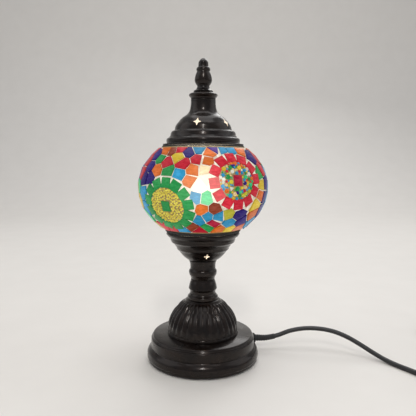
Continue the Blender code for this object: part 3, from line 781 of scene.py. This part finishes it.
def make_plug():
    """The flat two-pin plug lying on the floor beside the coil."""
    x, y = PLUG_PLACE
    half = [(-20, -5), (-18, -6.6), (-14, -9.4), (-8, -12.8), (-2, -15.4), (4, -16.8), (11, -16.9),
            (16.6, -15.9), (18.9, -14.3), (19.5, -12.6)]
    corners = filled([Vector(point) for point in half + [(px, -py) for px, py in reversed(half)]], 0.45)
    for _ in range(3):
        before, after = corners[-1:] + corners, corners[1:] + corners[:1]
        corners = [(a + b * 2 + c) / 4 for a, b, c in zip(before, corners, after)]
    mesh = moulded(ribbed(corners, -6, 12), 0, PLUG_HEIGHT, 3, 3, (x, y))
    pieces = [piece("plug_body_fine", mesh, "black_plastic", replaces=("plug_body",))]
    sleeve = 10
    for i, side in enumerate((-9.3, 9.3)):
        mesh = lathe(outline((0, 18.6), (1.5, 17.8, 0.35), (2, 16.6, 0.15), (2, sleeve), (1.9, sleeve - 0.2),
                             (1.9, 0.5), (2, 0), (0, 0)), 40)
        pieces.append(piece(f"pin_fine_{i + 1}", mesh, "brass", replaces=(f"plug_pin_{i + 1}",)))
        mesh.materials.append(PAINTS["black_plastic"])
        for face in mesh.polygons:
            if face.center.z < (sleeve - 0.05) * MM:
                face.material_index = 1
        mesh.transform(Matrix.Rotation(radians(90), 4, "Y"))
        shift(mesh, (x + 19.8, y + side, PLUG_HEIGHT / 2))
    return pieces


def make_tie():
    """The strap that holds the coil, wrapped round its turns."""
    strap = [(18.9, 2), (19.5, 0.7), (21, 0.35), (32.2, 0.35), (33.6, 0.9), (34.15, 2.2), (34.15, 12.4),
             (33.4, 14.2), (31.4, 14.9), (21.6, 14.9), (19.6, 14.2), (18.9, 12.4)]
    loop = smooth_path([(r, z, 0) for r, z in [strap[-1], *strap, strap[0]]], 0.6)
    spots = [Vector((p.x, p.y)) for p in loop][1:-1]
    turn = radians(TIE_TURN)
    out = Vector((cos(turn), sin(turn), 0))
    side = Vector((-out.y, out.x, 0))
    centre = Vector((*COIL_CENTRE, 0))
    shape = bmesh.new()
    loops = []
    for i, spot in enumerate(spots):
        way = (spots[(i + 1) % len(spots)] - spots[i - 1]).normalized()
        row = []
        for across, lift in ((-3.6, 0), (-3.6, 0.45), (-3.2, 0.6), (3.2, 0.6), (3.6, 0.45), (3.6, 0)):
            flat = spot + Vector((way.y, -way.x)) * (lift - 0.3)
            place = centre + out * flat.x + Vector((0, 0, max(0.02, flat.y))) + side * across
            row.append(shape.verts.new(place * MM))
        loops.append(row)
    stitch(shape, loops)
    return piece("coil_tie", finished(shape), "rubber")


# ---- Metal -----------------------------------------------------------------------------------

def make_foot():
    shell = turned("base_shell", "bronze", [
        (50.4, 26.8), (51.4, 25.2, 0.3), (52.2, 24.4), (51.9, 23.9), (53, 22.4, 0.4), (53.2, 14.8),
        (52.8, 14.3), (53.6, 13.6), (57.2, 6, 1.3), (57, 4.2, 0.2), (56.5, 3.8), (56.6, 3.2),
        (54.8, 1, 0.8), (53.8, 1.4), (55.6, 6, -0.7), (51.8, 13.6, -1.2), (51.6, 22.4),
        (49.6, 25.2), (HOLE_R, 25.2), (HOLE_R, 26.8),
    ])
    bore = put_in("cutter", rod(4.5, 66, 44, 40), (0, 0, CORD_TO_SWITCH[0][2]))
    cut_out(shell, [sideways(bore, radians(BORE_TURN))])


def make_fluted_dome():
    """The dome with rounded hollow flutes and sharp ridges between them."""
    shoulder = outline((15.9, 62.5), (17.8, 61.8, 0.2), (18, 61), (18.6, 60.6))
    flutes = outline((19, 60.3), (26.4, 53.8, 0.9), (35.7, 36, 1.9), (36, 30.2), count=12)
    foot = [(36.3, 29.9), (36.5, 29.3), (36.5, 27.1)]
    inside = [(33.2, 27.1), (33, 36), (25.6, 48), (HOLE_R, 57.6), (HOLE_R, 62.5)]
    last = len(flutes) - 1
    fades = [min(1, 0.15 + 3 * i / last, 6 * (last - i) / last + 0.2) for i in range(len(flutes))]
    rows = [(r, z, 0) for r, z in shoulder]
    rows += [(r, z, FLUTE_DEPTH * fade) for (r, z), fade in zip(flutes, fades)]
    rows += [(r, z, 0) for r, z in foot + inside]
    shape = bmesh.new()
    loops = []
    for r, z, depth in rows:
        loop = []
        for angle in around(FLUTES * 8):
            far = (r - depth * (1 - abs(cos(FLUTES * angle / 2)) ** 1.6)) * MM
            loop.append(shape.verts.new((far * cos(angle), far * sin(angle), z * MM)))
        loops.append(loop)
    stitch(shape, loops)
    piece("fluted_dome_fine", finished(shape), "bronze", replaces=("fluted_dome",))


def make_stem():
    turned("lower_vase", "bronze", [
        (12.2, 83.2), (12.2, 82.4), (14.5, 73.8, 0.25), (14.3, 73, 0.1), (13.1, 70.9, -0.15), (13, 68.6),
        (14, 66.8, 0.2), (14.6, 66.4), (15.6, 64.4, 0.4), (15.8, 62.8), (HOLE_R, 62.8), (HOLE_R, 83.2),
    ])
    turned("upper_neck", "bronze", [
        (14.2, 102.8), (14.1, 102), (12.9, 96, -0.4), (12.9, 93.6), (13.5, 93.1), (14.2, 90, 0.4),
        (12.6, 86, 0.4), (12.1, 83.5), (HOLE_R, 83.5), (HOLE_R, 102.8),
    ])


def make_cup():
    cup = turned("lower_cup", "bronze", [
        (36.8, 131.8), (37, 131.2), (36.6, 129.2, 0.4), (35, 127.4, 0.2), (34.4, 127.2), (33.2, 126, -0.2),
        (33, 124), (32.6, 123.6), (31.6, 121.4, 0.3), (28.6, 118.6, -0.3), (28.2, 118), (27, 116.6),
        (26.6, 115), (24.4, 112.8, 0.2), (14.6, 103.1, 0.9), (HOLE_R, 103.1), (HOLE_R, 106.2),
        (15.2, 106.2), (22.6, 113, -0.4), (26.4, 118.6), (30.6, 123.4, -0.2), (31, 126.2),
        (34.7, 128), (35, 131.8),
    ])
    cut_stars(cup, CUP_STARS, -80, 3.1, 22, 110)


def make_cap():
    cap = turned("top_cap", "bronze", [
        (12.4, 263.6), (12.8, 256.6, -0.2), (17.8, 248, -1.2), (24.8, 241.6, 0.6), (28.4, 234.6, 0.7),
        (28.6, 233.6), (29.2, 233.2), (32.4, 230.4, 0.7), (32.8, 228.2), (33.4, 227.6), (34.2, 226.2),
        (36.8, 223.6, 0.7), (36.6, 221.6), (36.3, 221), (37, 220.3), (40.4, 219.9), (40.4, 218.9),
        (35.2, 218.9), (34.6, 223.6), (26.6, 234), (22.8, 240.6), (15.6, 247.4), (10.9, 255.6, 0.8),
        (10.7, 261.8), (STUD_R, 261.8), (STUD_R, 263.6),
    ], "cap")
    cut_stars(cap, CAP_STARS, -103, 3.9, 23.4, 240.5)
    turned("cap_collar", "bronze", [
        (9.9, 270.9), (13.2, 269.5, -0.1), (14.2, 268.4, 0.2), (14.1, 267.6, 0.2), (13.5, 266.3),
        (12.9, 265.9), (12.3, 263.9, -0.3), (STUD_R, 263.9), (STUD_R, 270.2),
    ], "cap")
    turned("finial", "bronze", [
        (0, 303.8), (2.8, 302.6, 0.6), (4.9, 298.2, 0.7), (5.1, 295.6), (5.6, 295.2), (6.7, 293.9, 0.3),
        (6.8, 292.4, 0.2), (6.3, 291.2), (6.6, 290.4), (8.6, 283, 0.4), (6.1, 277.4, 0.6), (6, 276.6),
        (9.7, 272.3, -0.9), (9.8, 271.6), (STUD_R, 271.6), (STUD_R, 280), (0, 281),
    ], "finial", 72)


# ---- Bulb and its holder ---------------------------------------------------------------------

def make_lampholder():
    turned("lampholder_base", "phenolic", [
        (13.8, 127), (13.8, 120.4), (13.4, 119.6), (9, 113.4, 0.8), (HOLE_R, 113.4), (HOLE_R, 119),
        (12.2, 120.2), (12.2, 127),
    ], steps=64)
    ridges = []
    for top in range(146, 130, -3):
        ridges += [(14.2, top), (14, top - 1.2), (13.7, top - 1.5), (14, top - 1.8), (14.2, top - 2)]
    turned("lampholder_sleeve", "phenolic", [
        (8.6, 153), (13.2, 152.2, 0.3), (14.2, 150, 0.3), *ridges, (14.2, 127.3), (12.6, 127.3),
        (12.6, 151), (8.6, 151.6),
    ], steps=64)


def make_bulb():
    start = asin(BULB_NECK_R / BULB_R)
    arc = []
    for i in range(25):
        angle = (pi - start) * i / 24
        arc.append((BULB_R * sin(angle), BULB_Z + BULB_R * cos(angle)))
    inner = [(r * BULB_HOLLOW, BULB_Z + (z - BULB_Z) * BULB_HOLLOW) for r, z in reversed(arc)]
    neck = [(BULB_NECK_R, 156.9), (BULB_NECK_R * BULB_HOLLOW, 156.9)]
    piece("bulb_glass_fine", lathe([*arc, *neck, *inner], 72), "bulb_glass", "bulb", ("bulb_glass",))
    threads = [(6.55 + 0.28 * cos(pi * i / 5), 151.8 - i * 2.82 / 10) for i in range(30)]
    turned("bulb_cap", "brass", [
        (8.3, 156.6), (8.3, 152.6), (6.9, 152.3), *threads, (6.4, 138.6), (5.6, 136.2), (4.2, 136.2),
        (5.6, 139.4), (5.9, 152.6), (7.4, 154), (7.4, 156.6),
    ], "bulb", 56)


def make_globe_glass():
    """The clear glass globe behind the mosaic."""
    top, foot = GLOBE_Z + GLASS_RISE, GLOBE_Z - GLASS_RISE
    profile = [(34, 222), *globe_side(2.4, top, foot, 40), (34, 130.4), (31.6, 130.4),
               *globe_side(4.8, foot, top, 40), (31.6, 222)]
    piece("glass_globe_fine", lathe(softened(profile)), "globe_glass", "globe", ("glass_globe",))


def globe_side(inset, start_z, end_z, count):
    """Points of the globe's side, inset inside the mosaic's outer face, between two heights."""
    points = []
    for i in range(count + 1):
        z = start_z + (end_z - start_z) * (1 - cos(pi * i / count)) / 2
        flat = (z - GLOBE_Z) / (GLOBE_HALF_HEIGHT - inset)
        points.append(((GLOBE_R - inset) * sqrt(1 - flat * flat), z))
    return points


# ---- Mosaic ----------------------------------------------------------------------------------

COLOURS = {  # linear colour and how clear the glass is
    "red": ((0.72, 0.004, 0.028), 0.25),
    "crimson": ((0.52, 0.002, 0.04), 0.2),
    "orange": ((0.88, 0.17, 0.006), 0.35),
    "yellow": ((0.93, 0.64, 0.03), 0.3),
    "green": ((0.012, 0.34, 0.07), 0.25),
    "mint": ((0.035, 0.64, 0.24), 0.4),
    "cyan": ((0.015, 0.33, 0.62), 0.35),
    "navy": ((0.02, 0, 0.21), 0.05),
    "violet": ((0.1, 0.03, 0.32), 0.2),
    "brown": ((0.3, 0.04, 0.008), 0.2),
    "amber": ((0.92, 0.66, 0.3), 0.6),
    "lime": ((0.66, 0.6, 0.03), 0.3),
    "pink": ((0.8, 0.2, 0.09), 0.3),
    "gold": ((1, 0.78, 0.1), 0.2),
    "clear": ((0.88, 0.88, 0.74), 0.5),
}

# Middle of each medallion as (turn, height), its ring's colour, pieces and first angle, and its
# bead colours.
MEDALLIONS = [
    ((-33.2, 162), "green", 13, 3, ("gold",)),
    ((29.5, 186), "red", 12, 4,
     ("cyan", "amber", "yellow", "green", "cyan", "orange", "mint", "clear", "lime", "red")),
    ((98, 166), "cyan", 13, 10, ("gold",)),
    ((172, 184), "orange", 12, 0, ("green", "clear", "yellow", "cyan", "red", "mint", "amber")),
    ((-112, 184), "red", 13, 8, ("gold", "yellow")),
]
MIDDLE_SQUARE = [(-4.3, -5), (4.2, -5), (4.4, 4.9), (-4.1, 5.1)]
BIG_BEADS = [("navy", 7.6, -2.6, 1.9), ("navy", -1.2, -11.4, 1.8), ("crimson", 6.6, -9.6, 1.9)]
BEAD_TRIES = 6200
BIG_TRIES = 160
MIDDLE_TRIES = 1200
BACK_TRIES = 6000
DISC_R = 18.6
RING_R = 24
RING_SIDE = 10.3
RING_SHARE = 0.48
CELL_REACH = 9.5

# Pieces between the medallions at the front: colour, turn in degrees, height.
FRONT_PIECES = [
    ("orange", -46, 212.5), ("brown", -37, 213), ("red", -27, 214.5), ("yellow", -25, 207),
    ("navy", -15, 211.5),
    ("cyan", -5, 214), ("green", -47, 206), ("red", -35, 201.5), ("red", -18, 201), ("red", -5, 205),
    ("orange", -44, 195), ("green", -32, 194.5), ("cyan", -20, 191.5), ("orange", -9, 195),
    ("orange", -11, 186),
    ("navy", -56, 199), ("navy", -50, 187), ("navy", -61, 187), ("navy", -56, 208), ("amber", -3.5, 180.5),
    ("cyan", -5.5, 171), ("mint", 2, 170), ("orange", -1, 159.5), ("cyan", -3.5, 149.5), ("cyan", -60, 173),
    ("cyan", -60, 159), ("red", -50, 142), ("red", -39, 139.5), ("cyan", -26, 139), ("brown", -12, 142.5),
    ("red", -3, 138.5), ("orange", 6, 211), ("orange", 4, 203.5), ("violet", 13, 214.5), ("cyan", 22, 214),
    ("cyan", 33, 214), ("orange", 46, 213), ("navy", 57, 207), ("red", 67, 196), ("green", 58, 191),
    ("yellow", 59, 181), ("orange", 57, 171), ("yellow", 54, 163), ("orange", 56, 153), ("navy", 69, 182),
    ("navy", 68, 169), ("navy", 69, 156), ("brown", 10, 160), ("cyan", 4, 153), ("cyan", 14, 152.5),
    ("lime", 24, 155), ("navy", 34, 153.5), ("crimson", 10, 146), ("cyan", 28, 146.5), ("navy", 42, 146),
    ("green", 5, 141.5), ("orange", 19, 139), ("yellow", 34, 139), ("pink", 47, 139), ("amber", 2, 195.5),
    ("amber", 3, 187.5), ("red", 72, 206), ("cyan", 62, 145),
]
BACK_COLOURS = [
    "red", "orange", "cyan", "green", "yellow", "navy", "brown", "mint", "red", "cyan", "violet", "lime",
]


def on_globe(point, inset=0):
    """The point's place on the mosaic's outer face, or inset below it, and the way out there."""
    away = Vector((point[0], point[1], point[2] - GLOBE_Z))
    wide = GLOBE_R - inset
    high = GLOBE_HALF_HEIGHT - inset
    away /= sqrt((away.x / wide) ** 2 + (away.y / wide) ** 2 + (away.z / high) ** 2)
    normal = Vector((away.x / wide**2, away.y / wide**2, away.z / high**2)).normalized()
    return away + Vector((0, 0, GLOBE_Z)), normal


def globe_spot(turn, height):
    """The place on the globe at a turn in degrees, 0 at the front and positive to the right."""
    flat = (height - GLOBE_Z) / GLOBE_HALF_HEIGHT
    r = GLOBE_R * sqrt(1 - flat * flat)
    return Vector((r * sin(radians(turn)), -r * cos(radians(turn)), height))


def axes_at(spot):
    """The ways right, up and out on the globe at a spot."""
    normal = on_globe(spot)[1]
    right = UP.cross(normal).normalized()
    return right, normal.cross(right), normal


def beside(spot, right_by, up_by):
    """The place on the globe that far right of and above the spot."""
    right, up, _ = axes_at(spot)
    return on_globe(spot + right * right_by + up * up_by)[0]


def painted_hot_spot(spot):
    """How near a place on the globe is to the bulb's bright spot painted on its front, from 0 to 1; the
    painted glow of the pieces and grout is brightest there and painted dimmer towards the globe's sides.
    """
    far = (spot - globe_spot(*HOT_SPOT)).length
    return 0.6 * exp(-(far / HOT_REACH) ** 2) + 0.4 * exp(-(far / HAZE_REACH) ** 2)


class Tesserae:
    """Collects the glass pieces of one colour into one mesh, each with its own tone."""

    def __init__(self, colour):
        self.colour = colour
        self.shape = bmesh.new()
        self.store = self.shape.loops.layers.float_color.new(STORE)

    def face(self, corners, values):
        made = self.shape.faces.new(corners)
        for loop, value in zip(made.loops, values):
            loop[self.store] = value

    def band(self, first, second, value, next_value):
        for i in range(len(first)):
            self.face([first[i - 1], second[i - 1], second[i], first[i]],
                      [value, next_value, next_value, value])

    def fan(self, loop, value, centre, centre_value):
        centre = self.shape.verts.new(centre * MM)
        for i in range(len(loop)):
            self.face([loop[i - 1], loop[i], centre], [value, value, centre_value])

    def plate(self, spot, corners, tone, lift=0, turn_out=0):
        """A flat piece of glass with ground edges; corners are (right, up) from the spot."""
        right, up, out = axes_at(spot)
        tilt = right * random.uniform(-turn_out, turn_out) + up * random.uniform(-turn_out, turn_out)
        base = on_globe(spot, 0.25)[0] + out * lift
        middle = sum((Vector(c) for c in corners), Vector((0, 0))) / len(corners)
        loops = []
        for depth, share in ((-PLATE_THICKNESS, 0.97), (-0.3, 1), (-0.07, 0.98), (0, 0.93)):
            loop = []
            for corner in corners:
                flat = middle + (Vector(corner) - middle) * share
                aside = right * flat.x + up * flat.y
                loop.append(self.shape.verts.new((base + aside + out * (depth + tilt.dot(aside))) * MM))
            loops.append(loop)
        hot_spot_share = painted_hot_spot(base)
        # Painted shade: the stored level dims the glow at the piece's ground edges and keeps it brightest in
        # its middle.
        edge, inner = (0.2, tone, hot_spot_share, 1), (0.8, tone, hot_spot_share, 1)
        for lower, upper, high in zip(loops, loops[1:], (edge, edge, inner)):
            self.band(lower, upper, edge, high)
        self.fan(loops[-1], inner, base + right * middle.x + up * middle.y + out * 0.03, (1, tone, hot_spot_share, 1))
        self.face(list(reversed(loops[0])), [edge] * len(corners))

    def bead(self, spot, radius, tone, hole=True):
        """A seed bead lying on its side, or a plain round one."""
        right, up, out = axes_at(spot)
        lean = random.uniform(0, pi)
        first = right * cos(lean) + up * sin(lean)
        second = out.cross(first)
        base = on_globe(spot, 0.55)[0]
        hot_spot_share = painted_hot_spot(base)
        rows = []
        for j in range(5):
            angle = pi * (j + 0.5) / 5
            r = radius * (0.34 + 0.66 * sin(angle)) if hole else radius * sin(angle)
            z = radius * (0.62 if hole else 0.9) * cos(angle)
            rows.append([self.shape.verts.new((base + first * r * cos(a) + second * r * sin(a)
                                               + out * z) * MM) for a in around(10)])
        # Painted shade: the glow is stored brightest on the bead's top, darker down its sides and in its
        # hole.
        values = [(level, tone, hot_spot_share, 1) for level in (1, 0.75, 0.2, 0, 0)]
        for j in range(4):
            self.band(rows[j], rows[j + 1], values[j], values[j + 1])
        dent, shade = (0.3, 0.35) if hole else (0.9, 1)
        self.fan(rows[0], values[0], base + out * radius * dent, (shade, tone, hot_spot_share, 1))
        self.face(list(reversed(rows[-1])), [values[-1]] * 10)

    def finish(self):
        if not self.shape.faces:
            self.shape.free()
            return
        colour, clear = COLOURS[self.colour]
        paint = tessera_paint(self.colour, colour, MOSAIC_CLEAR * clear)
        piece(f"mosaic_{self.colour}", finished(self.shape, radians(50)), "mosaic", "globe", paint=paint)


def clipped(corners, point, way):
    """The part of a convex outline on the near side of the line through point across way."""
    kept = []
    for a, b in zip(corners, corners[1:] + corners[:1]):
        from_a = (a - point).dot(way)
        from_b = (b - point).dot(way)
        if from_a <= 0:
            kept.append(a)
        if (from_a < 0) != (from_b < 0):
            kept.append(a + (b - a) * (from_a / (from_a - from_b)))
    return kept


def without_short_sides(corners, shortest):
    """The outline with each short side shrunk to one corner."""
    corners = list(corners)
    while len(corners) > 3:
        lengths = [(corners[i - 1] - corners[i]).length for i in range(len(corners))]
        least = min(range(len(corners)), key=lengths.__getitem__)
        if lengths[least] >= shortest:
            break
        corners[least - 1] = (corners[least - 1] + corners[least]) / 2
        del corners[least]
    return corners


def cell_between(spot, others):
    """The outline round a spot that stops halfway to each of the others and at the mosaic's ends."""
    right, up, _ = axes_at(spot)
    corners = [Vector(corner) * CELL_REACH for corner in SQUARE]
    for other, share in others:
        gap = other - spot
        if gap.length > 30 or gap.length < TINY:
            continue
        way = Vector((gap.dot(right), gap.dot(up))).normalized()
        corners = clipped(corners, way * (gap.length * share - GROUT_GAP / 2), way)
        if len(corners) < 3:
            return []
    for height, side in ((MOSAIC_TOP_Z - 0.8, 1), (MOSAIC_FOOT_Z + 0.8, -1)):
        line = (height - spot.z) / max(0.2, up.z)
        corners = clipped(corners, Vector((0, line)), Vector((0, side)))
    return corners


def ring_spots(middle, count, first):
    """The angle and the place of each piece of a medallion's ring."""
    angles = [radians(first + 360 * i / count) for i in range(count)]
    centre = globe_spot(*middle)
    return [(angle, beside(centre, RING_R * cos(angle), RING_R * sin(angle))) for angle in angles]


def bead_radius(tries, mixed):
    """A bead's size: big ones first, then smaller ones for the gaps. One size if there's one colour."""
    if tries < BIG_TRIES:
        radius = random.uniform(1.7, 2.3)
    else:
        radius = random.uniform(1.2, 1.6) if tries < MIDDLE_TRIES else 0.9
    return radius if mixed else random.uniform(0.92, 1.08)


def back_spots(taken, count):
    """Seeded random spots round the back, no nearer than a piece's width to any other."""
    spots = []
    for _ in range(count):
        turn = random.uniform(74, 292)
        spot = globe_spot(turn, random.uniform(MOSAIC_FOOT_Z + 3.5, MOSAIC_TOP_Z - 3))
        if all((spot - other).length > 9.6 for other in taken + spots):
            spots.append(spot)
    return spots


def make_medallion(sets, middle, ring, count, first, beads):
    """A disc of beads round a square, inside a ring of square pieces."""
    centre = globe_spot(*middle)
    for angle, spot in ring_spots(middle, count, first):
        if not MOSAIC_FOOT_Z + 3.2 < spot.z < MOSAIC_TOP_Z - 2.4:
            continue
        long = random.uniform(0.92, 1.02) * RING_SIDE / 2
        wide = random.uniform(0.9, 1) * RING_SIDE / 2
        lean = angle + random.uniform(-0.08, 0.08)
        across = Vector((cos(lean), sin(lean)))
        along = Vector((-across.y, across.x))
        corners = [across * (a * long * random.uniform(0.94, 1.04))
                   + along * (b * wide * random.uniform(0.94, 1.04)) for a, b in SQUARE]
        sets[ring].plate(spot, corners, random.random() * 0.7, turn_out=0.02)
    sets["crimson" if ring == "red" else ring].plate(centre, MIDDLE_SQUARE, 0.5, 0.1)
    placed = []
    mixed = len(beads) > 2
    for tries in range(BEAD_TRIES):
        far = (DISC_R - 0.9) * sqrt(random.random())
        angle = random.uniform(0, 2 * pi)
        x, y = far * cos(angle), far * sin(angle)
        radius = bead_radius(tries, mixed)
        if abs(x) < 4.9 + radius * 0.8 and abs(y) < 5.6 + radius * 0.8:
            continue
        if any((x - u) ** 2 + (y - v) ** 2 < (0.93 * (radius + r)) ** 2 for u, v, r in placed):
            continue
        placed.append((x, y, radius))
        spot = beside(centre, x, y)
        tesserae = sets[random.choice(beads)]
        if mixed and random.random() < 0.3:
            turn = random.uniform(0, pi)
            far = radius * 1.15
            chip = [(far * cos(turn + a), far * sin(turn + a)) for a in around(random.choice((3, 4, 5)))]
            tesserae.plate(spot, chip, random.random(), 0.1, 0.2)
        else:
            tesserae.bead(spot, radius, random.random(), hole=not mixed or random.random() < 0.6)
    if mixed:
        for colour, x, y, radius in BIG_BEADS:
            sets[colour].bead(beside(centre, x, y), radius, 0.4, hole=False)
        sets["navy"].plate(beside(centre, -2.6, 13.6), [(-2.3, 1.8), (0.2, -2.6), (2.4, 1.9)], 0.2, 0.4)


def make_mosaic():
    random.seed(11)
    sets = {colour: Tesserae(colour) for colour in COLOURS}
    for medallion in MEDALLIONS:
        make_medallion(sets, *medallion)
    middles = [globe_spot(*middle) for middle, *_ in MEDALLIONS]
    rings = [spot for middle, _, count, first, _ in MEDALLIONS
             for _, spot in ring_spots(middle, count, first)]
    chosen = [(colour, globe_spot(turn, height)) for colour, turn, height in FRONT_PIECES]
    backs = [spot for spot in back_spots([spot for _, spot in chosen] + rings, BACK_TRIES)
             if all((spot - middle).length > RING_R + 6.5 for middle in middles)]
    chosen += [(random.choice(BACK_COLOURS), spot) for spot in backs]
    for colour, spot in chosen:
        others = [(other, 0.5) for _, other in chosen if other is not spot]
        corners = cell_between(spot, others + [(other, RING_SHARE) for other in rings])
        if len(corners) < 3:
            continue
        corners = [corner * random.uniform(0.97, 1.04) for corner in without_short_sides(corners, 3)]
        sets[colour].plate(spot, corners, random.random(), turn_out=0.03)
    for tesserae in sets.values():
        tesserae.finish()


def make_grout():
    """The grout shell between the pieces, crumbly on its outer face."""
    mesh = lathe([*globe_side(GROUT_INSET, MOSAIC_TOP_Z, MOSAIC_FOOT_Z, 64),
                  *globe_side(2.1, MOSAIC_FOOT_Z, MOSAIC_TOP_Z, 40)], 200)
    store = mesh.color_attributes.new(STORE, "FLOAT_COLOR", "POINT")
    middles = [globe_spot(*middle) for middle, *_ in MEDALLIONS]
    for vertex, stored in zip(mesh.vertices, store.data):
        place = vertex.co / MM
        spot, out = on_globe(place)
        if (spot - place).length < 1.4:
            rough = noise.noise(place * 0.8) * 0.16 + noise.noise(place * 2.1) * 0.08
            vertex.co += out * rough * MM
            place = vertex.co / MM
        # The grout is stored darker, with a dimmer painted glow, along the rims and under the bead discs.
        rim = place.z > MOSAIC_TOP_Z - 0.9 or place.z < MOSAIC_FOOT_Z + 0.9
        dimmed_grout = 1 if rim or any((place - middle).length < DISC_R for middle in middles) else 0
        stored.color = (dimmed_grout, 0, painted_hot_spot(place), 1)
    piece("grout", mesh, "mosaic", "globe", ("mosaic_layer",))


# ---- What is left of the CAD, and the set ----------------------------------------------------

def paint_nodes():
    """Gives each CAD node that is still shown the material of its slot."""
    for part in frame["record"]["subparts"]:
        node = frame["nodes"][part["node"]]
        node.data.materials.clear()
        node.data.materials.append(PAINTS[part["material_slot"]])


def make_set():
    """The pale floor, curved up behind into a backdrop."""
    paint = Paint("pale_floor", Roughness=0.55)
    tone = paint.mix(paint.span(paint.noise(60, 3)), (0.73, 0.70, 0.66), (0.75, 0.72, 0.68))
    paint.put(Base_Color=tone, Normal=paint.bump(paint.noise(1.2, 3), 0.02))
    profile = [(-2.4, 0), (1.2, 0)]
    for i in range(1, 13):
        angle = radians(90 * i / 12)
        profile.append((1.2 + 0.9 * sin(angle), 0.9 * (1 - cos(angle))))
    profile.append((2.1, 3.4))
    shape = bmesh.new()
    rows = [[shape.verts.new((x, y, z)) for x in (-3.4, 3.4)] for y, z in profile]
    for (a, b), (c, d) in zip(rows, rows[1:]):
        shape.faces.new([a, b, d, c])
    floor = put_in("floor", finished(shape, radians(60)))
    floor.data.materials.append(paint.material)


def add_light(name, place, size, power, colour=(1, 1, 1)):
    """A soft panel that faces the middle of the lamp, or a small bulb if it has no size."""
    data = bpy.data.lights.new(name, "AREA" if size else "POINT")
    data.energy = power
    data.color = colour
    light = put_in(name, data, Vector(place) / MM)
    if size:
        data.shape = "RECTANGLE"
        data.size, data.size_y = size
        light.rotation_euler = (Vector(LIGHTS_FACE) - Vector(place)).to_track_quat("-Z", "Y").to_euler()
    else:
        data.shadow_soft_size = 0.003


def make_lights():
    world = bpy.data.worlds.new("studio")
    world.use_nodes = True
    world.node_tree.nodes["Background"].inputs["Color"].default_value = (0.92, 0.95, 1, 1)
    world.node_tree.nodes["Background"].inputs["Strength"].default_value = 0.38
    bpy.context.scene.world = world
    add_light("key", (0, -1.5, 1.5), (0.16, 0.7), 11, (1, 0.97, 0.93))
    add_light("left", (-1.6, -0.1, 1.2), (1.5, 1.6), 5.5)
    add_light("right", (1.6, 0.1, 1.1), (1.5, 1.6), 5)
    add_light("top", (0, 0.3, 2), (1.6, 1.6), 16)
    add_light("back", (0.4, 1.5, 1.3), (1, 0.8), 7)
    add_light("glow_in_cup", (0.002, -0.017, 0.119), None, 0.02, (1, 0.85, 0.62))
    add_light("glow_in_cap", (0, 0, 0.228), None, 0.001, (1, 0.85, 0.62))


def main():
    make_camera()
    lead, wound = make_cord()
    paint_nodes()
    make_foot()
    make_fluted_dome()
    make_stem()
    make_cup()
    make_cap()
    make_lampholder()
    make_bulb()
    make_globe_glass()
    make_grout()
    make_mosaic()
    grommet, switch_in, switch_out, plug_boot = make_boots()
    switch = make_switch()
    plug = make_plug()
    make_tie()
    make_set()
    make_lights()
    bpy.context.scene.view_settings.view_transform = "Standard"


main()
